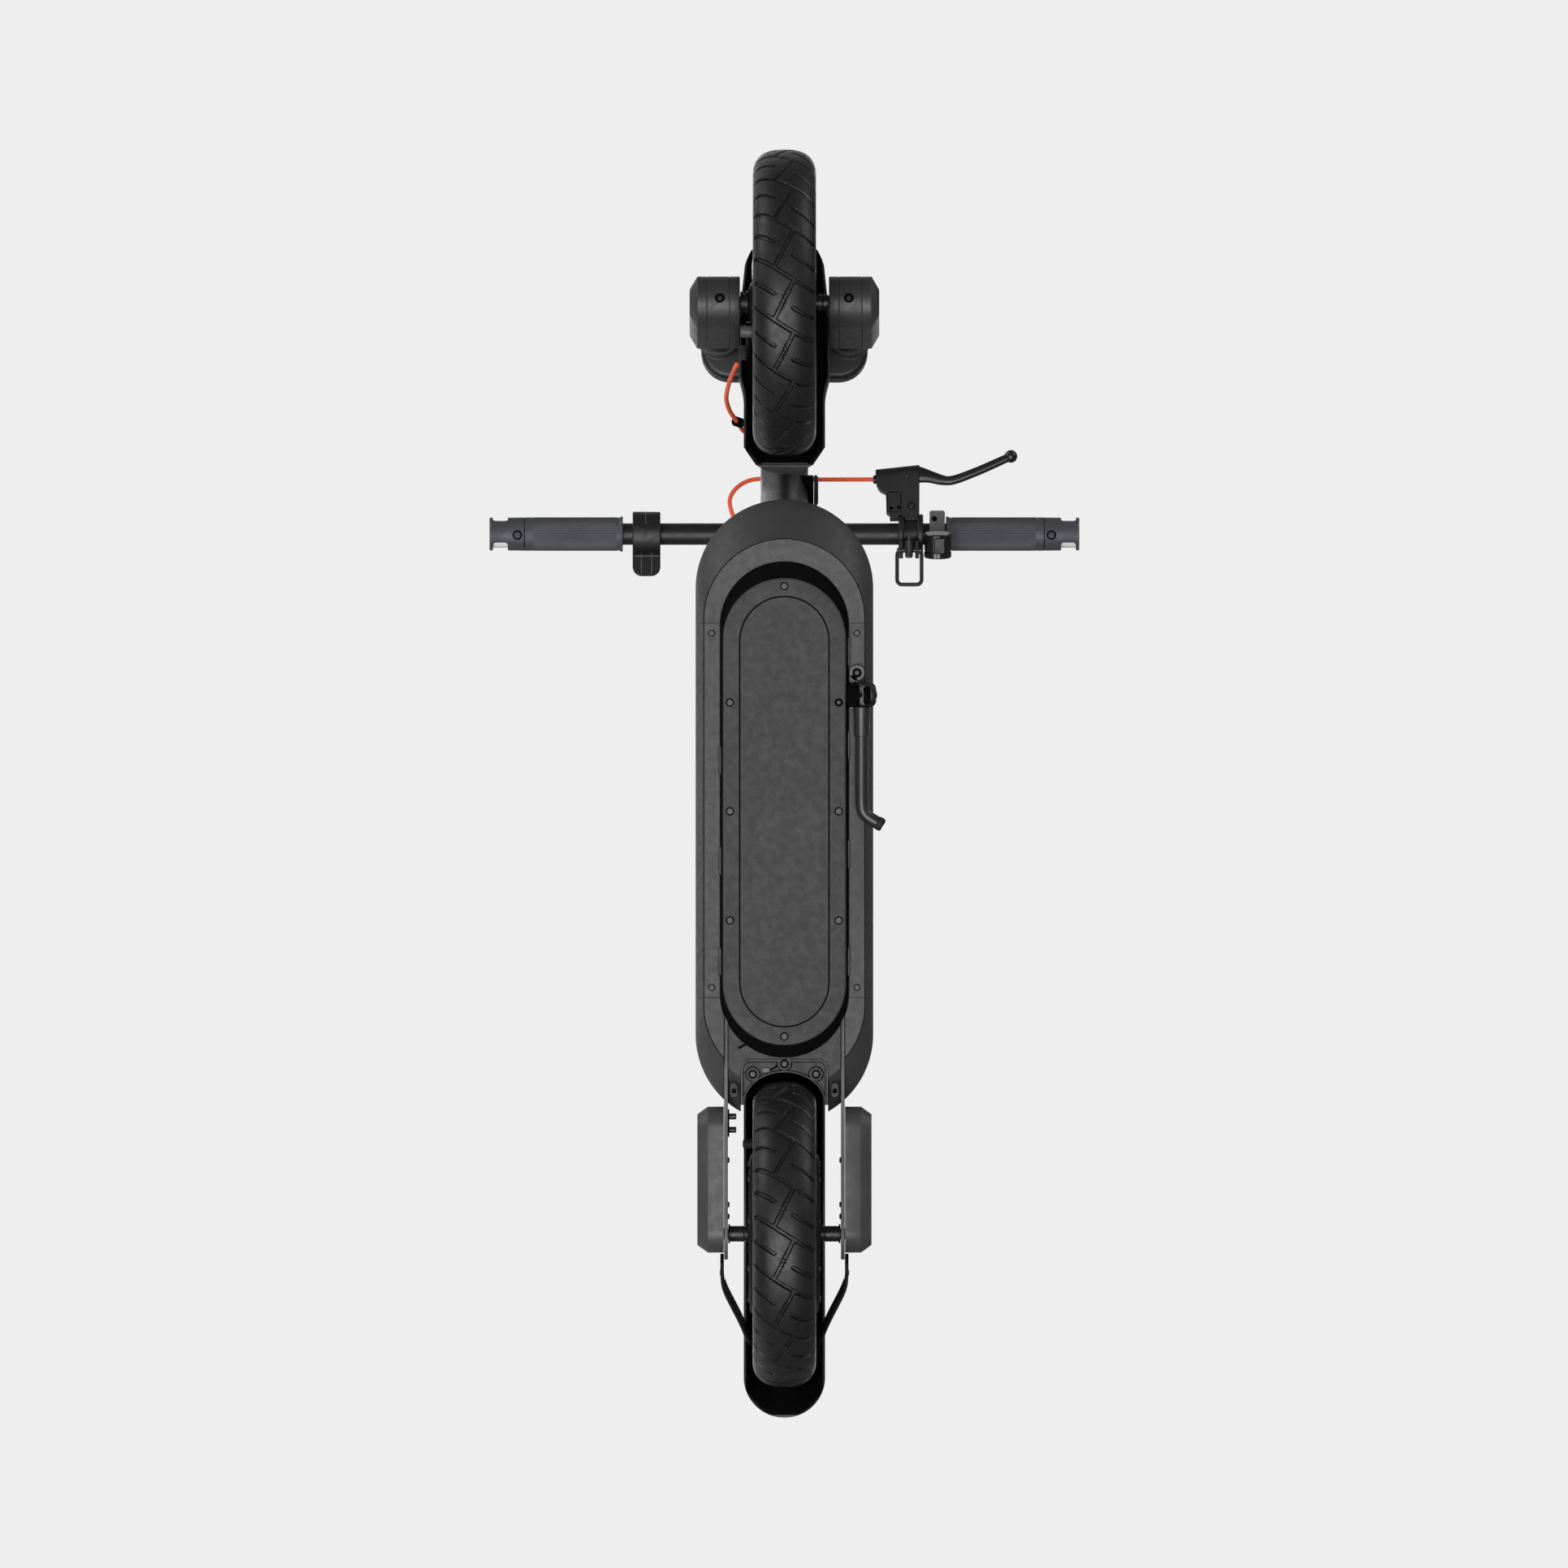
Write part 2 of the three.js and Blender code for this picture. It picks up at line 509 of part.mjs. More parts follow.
function kickstand() {
  const stand = new THREE.Group(); // its y axis is the pivot
  stand.position.set(...STAND);
  stand.rotation.x = STAND_LEAN;
  scooter.add(stand);
  const sleeveRod = join(lengthways(STAND_SLEEVE_R, -38, -12, 0, 0), box(-14, -4, -4.9, 4.9, -6, 6));
  const path = [[-30, 0, 0], [-104, 0, 0], [-113, 5, -1], [-121, 18, -8]];
  const rod = bentTube(path, STAND_ROD_R, 0, 10, 4);
  const bore = STAND_PIN_R + 0.4;
  const knuckle = cut(join(across(STAND_KNUCKLE_R, -5, 5, 0, 0), sleeveRod, rod), across(bore, -6, 6, 0, 0, 16));
  piece(stand, 'kickstand_leg', knuckle, BLACK);
  piece(stand, 'kickstand_bumper', sleeve(bore, STAND_KNUCKLE_R - 0.5, 5.3, 12), RUBBER);
  const lug = join(across(STAND_KNUCKLE_R, -12, -5.4, 0, 0), box(-8, 8, -12, -5.4, 0, 8),
    across(STAND_PIN_R, -8, 11, 0, 0, 12));
  stand.updateMatrixWorld(true);
  const [plateLow, plateHigh] = [DECK_BOTTOM - 3.7, DECK_BOTTOM - GAP];
  const boltPlate = planPlate(roundedOutline(92.5, 110, 59.8, 74.6, 7.3), plateLow, plateHigh);
  const plate = join(boltPlate, box(68, 100, 59.8, 67.5, plateLow, plateHigh));
  const leg = box(74, 90, 60, 63, STAND[2], plateLow + 0.7);
  const bracket = join(lug.applyMatrix4(stand.matrixWorld), leg, plate,
    upright(4, plateLow - 2.3, plateLow + 0.2, ...STAND_BOLT, 12));
  piece(scooter, 'kickstand_bracket', bracket, BLACK);
}

// ---- Fork ----
const CROWN_BOTTOM = 313;
const CROWN_TOP = 343;
const LEG_BOTTOM = 195;
const CASING_BORE_BOTTOM = 165;
const CASING_SHOULDER = 80.6; // where the casing's outer chamfer starts
const FRONT_AXLE_R = 6;
const FRONT_COLLAR_R = 7.5;

function forkCrown() {
  const outline = (inset) => roundedOutline(-18 + inset, 40 - inset, -77 + inset, 77 - inset, 27 - inset);
  const plate = loft([[outline(4), CROWN_BOTTOM], [outline(0), CROWN_BOTTOM + 5], [outline(0), CROWN_TOP - 8],
    [outline(6), CROWN_TOP]]);
  const collar = upright(22, CROWN_TOP - 1, HEAD_BOTTOM - GAP, 0, 0);
  return join(plate, collar, upright(STEERER_R, CROWN_TOP - 1, HEAD_TOP + 14, 0, 0));
}

function forkCasing() {
  const top = AXLE_W + CASING_LENGTH;
  const outline = (radius) => roundedOutline(FORK_OFFSET - radius, FORK_OFFSET + radius,
    AXLE_W - radius, top + radius, radius - 0.01, 7);
  const pod = sideLoft([[outline(CASING_R), CASING_IN], [outline(CASING_R), CASING_SHOULDER],
    [outline(CASING_R / 2), CASING_OUT]]);
  const legBore = upright(LEG_R + 0.8, CASING_BORE_BOTTOM, 300, FORK_OFFSET, LEG_Y);
  const axleBore = across(FRONT_AXLE_R + GAP, CASING_IN - 1, 72, FORK_OFFSET, AXLE_W, 16);
  return cut(pod, legBore, axleBore);
}

function fork() {
  piece(steered, 'fork_crown', forkCrown(), BLACK);
  const leg = upright(LEG_R, LEG_BOTTOM, CROWN_BOTTOM - GAP, FORK_OFFSET, LEG_Y);
  pair(steered, 'fork_leg', leg, BLACK);
  pair(steered, 'fork_casing', forkCasing(), PLASTIC);
  const collar = [31, CASING_IN - GAP];
  const half = [[FRONT_AXLE_R, collar[0]], ...collar.map((y) => [FRONT_COLLAR_R, y]), [FRONT_AXLE_R, collar[1]],
    [FRONT_AXLE_R, 70]];
  piece(steered, 'front_axle', shaft(half).translate(FORK_OFFSET, 0, AXLE_W), STEEL);
}

const FRONT_FENDER_R = 156;
const FRONT_FENDER_EAR = 42.4; // its half width beside the fork
// The left half of its outline across the steering axis, from the chamfered rear end to the square front end.
const FRONT_FENDER_PLAN = [[-180, 15], [-170, 26.6], [-152, 38], [-110, 45], [100, 45]];

function frontFender() {
  const centre = [FORK_OFFSET, AXLE_W + 14];
  const arch = channel(centre, FRONT_FENDER_R, FENDER_HALF_WIDTH, 2.6, 18, 28);
  const wide = channel(centre, FRONT_FENDER_R - 4, FRONT_FENDER_EAR, 5, 20, 28);
  const ears = common(wide, box(-40, 60, -50, 50, 200, 330));
  const span = slice(...centre, 58, 186, 260, 60);
  const outline = [...FRONT_FENDER_PLAN, ...[...FRONT_FENDER_PLAN].reverse().map(([x, y]) => [x, -y])];
  const plan = planPlate(outline, 0, 400);
  const mount = box(-4, 34, -14, 14, AXLE_W + 14 + FRONT_FENDER_R - 2, CROWN_BOTTOM - GAP);
  return join(common(common(arch, span), plan), common(ears, slice(...centre, 60, 118, 260, 60)), mount);
}

// ---- Front wheel and drum brake ----
const ARM_PIVOT = [FORK_OFFSET - 22, AXLE_W + 16];
const ARM_LENGTH = 30;
const ARM_TURN = -0.45; // radians from upright
const ARM_PIN_R = 3;
const HUB_BORE = 6.4;
const DRUM_R = 42;
const DRUM_FACE = -25.8;
const WEB_HALF_WIDTH = 6;

function frontRim() {
  const web = WEB_HALF_WIDTH;
  const drumSide = [[HUB_BORE, 1 - web], [DRUM_R, 1 - web], [DRUM_R, DRUM_FACE], [DRUM_R + 5, DRUM_FACE],
    [DRUM_R + 5, -web], [78, -web]];
  const edges = otherHalf([...RIM_EDGE].reverse());
  const plainSide = [...RIM_EDGE].reverse();
  const hub = [[30, web], [30, 26], [HUB_BORE, 26]];
  return turned([...drumSide, ...edges, ...plainSide, [78, web], ...hub], FORK_OFFSET, AXLE_W, WHEEL_SIDES);
}

function frontWheel() {
  const rubber = tyre(0).translate(FORK_OFFSET, 0, AXLE_W - AXLE_Z);
  piece(steered, 'front_tyre', rubber, RUBBER);
  piece(steered, 'front_rim', frontRim(), BLACK);
  const backing = sleeve(FRONT_AXLE_R + GAP, DRUM_R - 0.5, -30, DRUM_FACE - 0.4, FORK_OFFSET, AXLE_W, 24);
  piece(steered, 'brake_plate', join(backing, across(ARM_PIN_R, -38, -29, ...ARM_PIVOT, 12)), STEEL);
  const blade = sidePlate([[-5, 0], [5, 0], [4, ARM_LENGTH], [-4, ARM_LENGTH]], -36, -32);
  blade.rotateY(ARM_TURN).translate(ARM_PIVOT[0], 0, ARM_PIVOT[1]);
  const arm = join(across(7, -36, -30.4, ...ARM_PIVOT, 16), blade);
  piece(steered, 'brake_arm', cut(arm, across(ARM_PIN_R + GAP, -40, -29, ...ARM_PIVOT, 12)), BLACK);
}

// ---- Fold hinge and stem ----
const EAR_IN = 16;
const EAR_OUT = 24;
const KNUCKLE_R = 19;
const HINGE_PIN_R = 5;
const LATCH_PIN = [29.5, 460]; // the fold lever's pin
const LATCH_PIN_R = 2.5;
const LATCH_HALF_WIDTH = 9.6;
const STEM_BOTTOM = HINGE_W + 28;
const STEM_TOP = BAR_W - 34;
const STEM_FOOT_R = 23;
const STEM_HEAD_R = 19;
const STEM_WALL = 3.5;

function foldHinge() {
  const ear = (side) => join(across(KNUCKLE_R, ...(side > 0 ? [EAR_IN, EAR_OUT] : [-EAR_OUT, -EAR_IN]), 0, HINGE_W),
    box(-KNUCKLE_R, KNUCKLE_R, ...(side > 0 ? [EAR_IN, EAR_OUT] : [-EAR_OUT, -EAR_IN]), 462, HINGE_W));
  const collar = cut(upright(24, HEAD_TOP + GAP, 469, 0, 0, 24), upright(STEERER_R + GAP, 440, 463, 0, 0));
  const lug = (y0, y1) => box(18, 34, y0, y1, 453, 466);
  const latchPin = across(LATCH_PIN_R, -12, 12, ...LATCH_PIN, 12);
  const base = join(collar, ear(1), ear(-1), lug(10, 14), lug(-14, -10), latchPin);
  piece(steered, 'stem_base', cut(base, across(HINGE_PIN_R + GAP, -30, 30, 0, HINGE_W, 16)), PAINT);
  piece(steered, 'fold_pin', across(HINGE_PIN_R, -27, 27, 0, HINGE_W, 16), STEEL);
  const half = LATCH_HALF_WIDTH;
  const handle = join(across(4.7, -half, half, ...LATCH_PIN, 16), box(26, 31, -half, half, LATCH_PIN[1] + 1, 530));
  piece(steered, 'fold_lever', cut(handle, across(LATCH_PIN_R + GAP, -12, 12, ...LATCH_PIN, 12)), BLACK);
}

function stem() {
  const knuckle = join(across(18, -15.6, 15.6, 0, HINGE_W), box(-15, 15, -15.6, 15.6, HINGE_W, STEM_BOTTOM + 4));
  const tube = upright(STEM_FOOT_R, STEM_BOTTOM, STEM_TOP, 0, 0, 24, STEM_HEAD_R);
  const wall = STEM_WALL;
  const hollow = upright(STEM_FOOT_R - wall, STEM_BOTTOM + 12, STEM_TOP + 1, 0, 0, 20, STEM_HEAD_R - wall);
  const bolted = cut(join(tube, knuckle), hollow, across(HINGE_PIN_R + GAP, -30, 30, 0, HINGE_W, 16));
  piece(steered, 'stem_tube', bolted, PAINT);
}

// ---- Handlebar ----
const GRIP_R = 15.5;
const GRIP_IN = 149.3;
const GRIP_OUT = 240;
const BAR_END = 272.5;
const DASH_TOP = 42;
const GRIP_FLANGE_R = 16.4;
const SIGNAL_END_R = 14.8;
const BUTTON_R = 7;
const BUTTON_X = -13;

function dash() {
  const outline = (halfY, x0, x1, corner) => roundedOutline(x0, x1, -halfY, halfY, corner);
  const body = loft([[outline(24, -20, 22, 14), -33.7], [outline(33, -24, 26, 14), -14],
    [outline(34, -26, 26, 14), DASH_TOP - 18], [outline(31, -24, 20, 12), DASH_TOP]]);
  const barSpace = across(BAR_BORE, -50, 50, 0, 0);
  const buttonSpace = upright(BUTTON_R + 0.4, DASH_TOP - 5, DASH_TOP + 4, BUTTON_X, 0);
  const screenSpace = box(-4.7, 16, -24, 24, DASH_TOP - 1.6, DASH_TOP + 4);
  piece(cockpit, 'dash_housing', cut(body, barSpace, buttonSpace, screenSpace), BLACK);
  piece(cockpit, 'display_panel', box(-4.4, 15.7, -23.7, 23.7, DASH_TOP - 1.3, DASH_TOP + 0.4), CLEAR);
  piece(cockpit, 'power_button', upright(BUTTON_R, DASH_TOP - 3, DASH_TOP + 1.4, BUTTON_X, 0), BLACK);
  const lamp = loft([[roundedOutline(-8, 12, -15, 15, 9), 26.4], [roundedOutline(-8, 12, -15, 15, 9), 29],
    [roundedOutline(-6, 10, -13, 13, 7.9), 31]]);
  piece(cockpit, 'headlight', lamp.rotateY(Math.PI / 2).translate(0, 0, 4), CLEAR);
}

function bar() {
  piece(cockpit, 'handlebar', across(BAR_R, -GRIP_OUT + GAP, GRIP_OUT - GAP, 0, 0, 24), PAINT);
  const grip = turned([[BAR_BORE, GRIP_IN], [GRIP_FLANGE_R, GRIP_IN], [GRIP_FLANGE_R, GRIP_IN + 2.4],
    [GRIP_R, GRIP_IN + 2.4], [GRIP_R, GRIP_OUT], [BAR_BORE, GRIP_OUT]], 0, 0, 24);
  pair(cockpit, 'grip', grip, GRIP);
  const signal = [[0, GRIP_OUT + GAP], [GRIP_R, GRIP_OUT + GAP], [SIGNAL_END_R, BAR_END - 3],
    [SIGNAL_END_R, BAR_END], [0, BAR_END]].map(([r, y]) => new THREE.Vector2(r, y));
  pair(cockpit, 'signal', new THREE.LatheGeometry(signal, 24), BLACK);
}

const THROTTLE_SPLIT = -127.8;
const THROTTLE_OUT = -140.3;
const THROTTLE_IN = -114.6;
const THROTTLE_R = 20.7;

function throttle() {
  const clamp = sleeve(BAR_BORE, THROTTLE_R, THROTTLE_OUT, THROTTLE_SPLIT - GAP, 0, 0, 24);
  piece(cockpit, 'throttle_housing', clamp, BLACK);
  const hub = sleeve(BAR_BORE + GAP, THROTTLE_R - 1.2, THROTTLE_SPLIT, THROTTLE_IN, 0, 0, 24);
  const paddle = planPlate(roundedOutline(reach(191.3), -21.5, THROTTLE_OUT, THROTTLE_IN, 6), -7, -1);
  const web = box(-26, -14, THROTTLE_SPLIT, THROTTLE_IN, -7, -1);
  piece(cockpit, 'throttle_lever', join(hub, paddle, web), BLACK);
}

const LEVER_PIVOT = [reach(284.5), 113];
const LATCH_HINGE = [reach(211), -24];
const LOOP_SIDES = [102.4, 128.5]; // y of the wire loop's sides
const LOOP_END = reach(182.2, -24);
const PERCH_Z = [-8, 9]; // the lever perch's faces

function brakeBracket() {
  const plan = [[248, 97], [266, 94], [277, 84.4], [289, 84.4], [293.2, 124.8], [262, 124.8], [248, 124.8]];
  const arm = planPlate(plan.map(([x, y]) => [reach(x), y]), ...PERCH_Z);
  const clampBody = across(20.6, 100, 130, 0, 0, 24);
  const neckBlock = box(8, reach(250), 98, 124, ...PERCH_Z);
  const latchLug = box(LATCH_HINGE[0] - 5, LATCH_HINGE[0] + 6, 107, 123, LATCH_HINGE[1] - 5, -14);
  const slot = box(reach(270.5), reach(300), 103, 130, -4.4, 4.4);
  const body = cut(join(arm, neckBlock, clampBody, latchLug), across(BAR_BORE, 90, 140, 0, 0), slot,
    across(2.6, 100, 130, ...LATCH_HINGE, 12));
  return join(body, upright(2.5, -6, 6, ...LEVER_PIVOT, 12));
}

function brakeLever() {
  const edge = [[291.5, 113], [293.6, 126], [284.8, 152], [287.3, 164], [303.4, 206]];
  const back = [[295.6, 208], [278.8, 164], [276.2, 153], [277.2, 126], [277.5, 113]];
  const blade = planPlate([...edge, ...back].map(([x, y]) => [reach(x), y]), -4, 4);
  const hub = upright(7, -4, 4, ...LEVER_PIVOT, 20);
  const ball = new THREE.SphereGeometry(6, 10, 6).translate(reach(302.4), 209.3, 0);
  return cut(join(blade, hub, ball), upright(2.8, -6, 6, ...LEVER_PIVOT, 12));
}

function latchLoop() {
  const rod = 3.3;
  const outside = roundedOutline(LOOP_END, LATCH_HINGE[0] + rod / 2, ...LOOP_SIDES, 4);
  const [right, left] = LOOP_SIDES;
  const inside = roundedOutline(LOOP_END + rod, LATCH_HINGE[0] - rod / 2, right + rod, left - rod, 1.5);
  return cut(planPlate(outside, LATCH_HINGE[1] - rod / 2, LATCH_HINGE[1] + rod / 2), planPlate(inside, -60, 0));
}

const BELL = [-15.6, 141.7, -26]; // middle of the bell
const BELL_TIP = THREE.MathUtils.degToRad(20); // its front end points down by this much
const BELL_R = 12.7;
const BELL_HALF_LENGTH = 11.3;
const BELL_STRAP = [134.1, 148.3]; // y of the strap's sides

function bell() {
  const strap = sleeve(BAR_BORE, 18.4, ...BELL_STRAP, 0, 0, 24);
  const inPlace = (geometry) => geometry.rotateY(BELL_TIP).translate(...BELL);
  const cup = inPlace(lengthways(BELL_R, -BELL_HALF_LENGTH, BELL_HALF_LENGTH, 0, 0, 24));
  const foot = box(-15, -3, 136, 147.4, -22, -13);
  piece(cockpit, 'bell_body', cut(join(strap, cup, foot), across(BAR_BORE, 130, 150, 0, 0, 24)), BLACK);
  piece(cockpit, 'bell_lever', inPlace(box(-6, 9, -3.4, 6.8, -15.8, -BELL_R - GAP)), BLACK);
}

const CABLE_R = 2;

/** From the lever's barrel, round in front of the stem and into the dash from its right. */
function cable() {
  const x = reach(281);
  const path = [[x + 0.3, 83, 0], [x, 70, -2], [x, 31, -14], [x, -22, -26], [x - 1, -38, -29], [x - 10, -48.5, -33],
    [reach(262, -37), -49.5, -37], [reach(248, -42), -46.5, -42], [8, -38, -47], [0, -28, -52]];
  piece(cockpit, 'brake_cable', bentTube(path, CABLE_R, 0, 30, 3), CABLE);
}

function controls() {
  dash();
  bar();
  throttle();
  piece(cockpit, 'brake_bracket', brakeBracket(), BLACK);
  piece(cockpit, 'brake_lever', brakeLever(), BLACK);
  piece(cockpit, 'latch_loop', latchLoop(), STEEL);
  bell();
  cable();
}

deck();
neck();
chargePort();
rearWheel();
rearEnd();
kickstand();
fork();
piece(steered, 'front_fender', frontFender(), BLACK);
frontWheel();
foldHinge();
stem();
controls();

export default scooter;
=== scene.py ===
"""Looks for a folding electric kick scooter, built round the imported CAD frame.

Shapes are made in millimetres and become metres when a piece is added. +X is forward, +Y the rider's left.
"""
import json
import math

import bpy
import numpy as np
from mathutils import Matrix, Vector


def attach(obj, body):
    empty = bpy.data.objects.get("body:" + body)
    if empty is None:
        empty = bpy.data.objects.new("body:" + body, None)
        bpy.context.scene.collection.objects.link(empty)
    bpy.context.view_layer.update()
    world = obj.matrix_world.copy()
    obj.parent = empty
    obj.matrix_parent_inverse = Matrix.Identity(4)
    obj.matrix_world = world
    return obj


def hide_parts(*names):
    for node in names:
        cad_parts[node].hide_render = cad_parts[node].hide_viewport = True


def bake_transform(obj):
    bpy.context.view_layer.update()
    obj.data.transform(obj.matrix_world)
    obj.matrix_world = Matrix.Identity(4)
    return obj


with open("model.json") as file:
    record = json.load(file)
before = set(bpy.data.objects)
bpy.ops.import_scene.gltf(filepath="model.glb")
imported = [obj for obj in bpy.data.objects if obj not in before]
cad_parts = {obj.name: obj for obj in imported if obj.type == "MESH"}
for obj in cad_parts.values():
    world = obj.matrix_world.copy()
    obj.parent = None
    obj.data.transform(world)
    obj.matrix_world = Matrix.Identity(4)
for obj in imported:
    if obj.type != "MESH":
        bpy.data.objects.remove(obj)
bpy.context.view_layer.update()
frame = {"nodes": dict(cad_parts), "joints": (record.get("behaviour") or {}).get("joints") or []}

MM = 0.001
JOINT = {joint["name"]: joint for joint in frame["joints"]}
SIDES = {"left": 1, "right": -1}

# ---------------------------------------------------------------- places


def place(origin, left, up):
    """A space in millimetres, with its own left (y) and up (z) directions."""
    left, up = Vector(left).normalized(), Vector(up).normalized()
    forward = left.cross(up)
    turn = Matrix((forward, left, up)).transposed().to_4x4()
    return Matrix.Translation(Vector(origin)) @ turn


def joint_at(name):
    return Vector(JOINT[name]["pos_m"]) / MM


def steering_place():
    """Its z runs up the steering axis from the ground."""
    up = Vector(JOINT["steering"]["axis"])
    point = joint_at("steering")
    return place(point - up * (point.z / up.z), (0, 1, 0), up)


def on_middle(point):
    return Vector((point.x, 0, point.z))


WORLD = Matrix.Identity(4)
STEER = steering_place()
STEER_UP = Vector(JOINT["steering"]["axis"])
COCKPIT = place(on_middle(joint_at("throttle_turn")), (0, 1, 0), STEER_UP)
FRONT_HUB = place(on_middle(joint_at("front_wheel_spin")), (0, 1, 0), STEER_UP)
REAR_HUB = place(on_middle(joint_at("rear_wheel_spin")), (0, 1, 0), (0, 0, 1))
STAND_AXIS = -Vector(JOINT["kickstand_pivot"]["axis"])
STAND = place(joint_at("kickstand_pivot"), STAND_AXIS, STAND_AXIS.cross(Vector((-1, 0, 0))))
BELL_AXIS = Vector(JOINT["bell_lever_pivot"]["axis"])
BELL = place(joint_at("bell_lever_pivot"), (0, 1, 0), BELL_AXIS.cross(Vector((0, 1, 0))))


def extent(node, space=WORLD):
    """The lowest and highest corners of a CAD node in a space, in millimetres."""
    inverse = space.inverted()
    points = np.array([inverse @ (v.co / MM) for v in frame["nodes"][node].data.vertices])
    return points.min(0), points.max(0)


# ---------------------------------------------------------------- shapes


class Shape:
    """Closed surfaces: points in millimetres, and faces that index them."""

    def __init__(self, points, faces):
        self.points = np.asarray(points, float).reshape(-1, 3)
        self.faces = faces

    def __add__(self, other):
        shift = len(self.points)
        moved = [[i + shift for i in face] for face in other.faces]
        return Shape(np.vstack([self.points, other.points]), self.faces + moved)

    def moved(self, x=0.0, y=0.0, z=0.0):
        return Shape(self.points + np.array((x, y, z)), self.faces)

    def turned(self, degrees, axis):
        turn = np.array(Matrix.Rotation(math.radians(degrees), 3, axis))
        return Shape(self.points @ turn.T, self.faces)

    def mirrored(self):
        return Shape(self.points * (1, -1, 1), [face[::-1] for face in self.faces])

    def on(self, side):
        """This left-side shape, or its mirror image for the right."""
        return self if side > 0 else self.mirrored()


def in_ground_space(shape, space):
    """The same shape given in ground coordinates instead of a space's own."""
    matrix = np.array(space)
    return Shape(shape.points @ matrix[:3, :3].T + matrix[:3, 3], shape.faces)


def total(shapes):
    result = shapes[0]
    for shape in shapes[1:]:
        result = result + shape
    return result


def skin(loops, closed=False):
    """A surface through loops of equally many points; its two ends are capped unless it closes on itself."""
    points = np.vstack(loops)
    n, count = len(loops), len(loops[0])
    row, column = np.meshgrid(np.arange(n if closed else n - 1), np.arange(count), indexing="ij")
    above, beside = (row + 1) % n * count, (column + 1) % count
    quads = np.stack([row * count + column, row * count + beside, above + beside, above + column], -1)
    quads = quads.reshape(-1, 4)
    corners = points[quads]
    volume = np.einsum("ij,ij->", corners[:, 0], np.cross(corners[:, 1], corners[:, 2]))
    volume += np.einsum("ij,ij->", corners[:, 0], np.cross(corners[:, 2], corners[:, 3]))
    caps = [] if closed else [list(range(count))[::-1], list(range((n - 1) * count, n * count))]
    for cap in caps:
        fan = points[cap]
        volume += np.einsum("j,ij->", fan[0], np.cross(fan[1:-1], fan[2:]))
    faces = quads.tolist() + caps
    return Shape(points, faces if volume > 0 else [face[::-1] for face in faces])


def rounded(x0, x1, y0, y1, corner, steps=8):
    """A rectangle's outline with round corners."""
    angles = np.radians(np.linspace(0, 90, steps + 1))
    centres = [(x1 - corner, y1 - corner), (x0 + corner, y1 - corner),
               (x0 + corner, y0 + corner), (x1 - corner, y0 + corner)]
    parts = []
    for quarter, (cx, cy) in enumerate(centres):
        turn = angles + quarter * math.pi / 2
        parts.append(np.column_stack([cx + corner * np.cos(turn), cy + corner * np.sin(turn)]))
    return np.vstack(parts)


def stadium(rear, front, radius, steps=28):
    return rounded(rear - radius, front + radius, -radius, radius, radius - 0.01, steps)


def circle(radius, count=48, x=0.0, y=0.0):
    turn = np.linspace(0, 2 * math.pi, count, endpoint=False)
    return np.column_stack([x + radius * np.cos(turn), y + radius * np.sin(turn)])


def star(radius, depth, count=48, points=6):
    """A star socket's outline."""
    turn = np.linspace(0, 2 * math.pi, count, endpoint=False)
    r = radius + depth * np.cos(points * turn)
    return np.column_stack([r * np.cos(turn), r * np.sin(turn)])


def loft(levels):
    """A solid through plan outlines, each [outline, z]."""
    return skin([np.column_stack([o, np.full(len(o), z)]) for o, z in levels])


def side_loft(levels):
    """A solid through outlines in the side view (x, z), each [outline, y]."""
    return skin([np.column_stack([o[:, 0], np.full(len(o), y), o[:, 1]]) for o, y in levels])


def front_loft(levels):
    """A solid through outlines in the front view (y, z), each [outline, x]."""
    return skin([np.column_stack([np.full(len(o), x), o[:, 0], o[:, 1]]) for o, x in levels])


def plate(outline, z0, z1, chamfer=0.0):
    """A flat plate with a plan outline; its chamfer shrinks the outline towards its middle."""
    outline = np.asarray(outline, float)
    if not chamfer:
        return loft([(outline, z0), (outline, z1)])
    small = shrunk(outline, chamfer)
    return loft([(small, z0), (outline, z0 + chamfer), (outline, z1 - chamfer), (small, z1)])


def shrunk(outline, amount):
    """An outline moved inwards along its normals."""
    after, before = np.roll(outline, -1, 0), np.roll(outline, 1, 0)
    along = after - before
    length = np.maximum(np.linalg.norm(along, axis=1, keepdims=True), 1e-9)
    inward = np.column_stack([-along[:, 1], along[:, 0]]) / length
    area = np.sum(outline[:, 0] * after[:, 1] - after[:, 0] * outline[:, 1])
    return outline + inward * amount * (1 if area > 0 else -1)


def plan_band(outer, inner, z0, z1):
    """A flat closed band between two plan outlines of equally many points."""
    corners = ((outer, z0), (outer, z1), (inner, z1), (inner, z0))
    return skin([np.column_stack([o, np.full(len(o), z)]) for o, z in corners], closed=True)


def block(x0, x1, y0, y1, z0, z1, chamfer=0.4, corner=None):
    """A box with round upright corners and chamfered edges."""
    corner = chamfer * 1.5 if corner is None else corner
    return plate(rounded(x0, x1, y0, y1, max(corner, chamfer + 0.05), 4), z0, z1, chamfer)


def lathe(profile, sides=72):
    """A solid round the y axis. The profile of (radius, y) points is open, and flat at both ends."""
    turn = np.linspace(0, 2 * math.pi, sides, endpoint=False)
    return skin([np.column_stack([r * np.cos(turn), np.full(sides, y), r * np.sin(turn)]) for r, y in profile])


def ring(profile, sides=96):
    """A ring round the y axis, from a profile of (radius, y) points that closes on itself."""
    loops = []
    turn = np.linspace(0, 2 * math.pi, sides, endpoint=False)
    for r, y in profile:
        loops.append(np.column_stack([r * np.cos(turn), np.full(sides, y), r * np.sin(turn)]))
    return skin(loops, closed=True)


def upright(shape):
    """Turns a shape made round the y axis so that it stands on the z axis."""
    return shape.turned(90, "X")


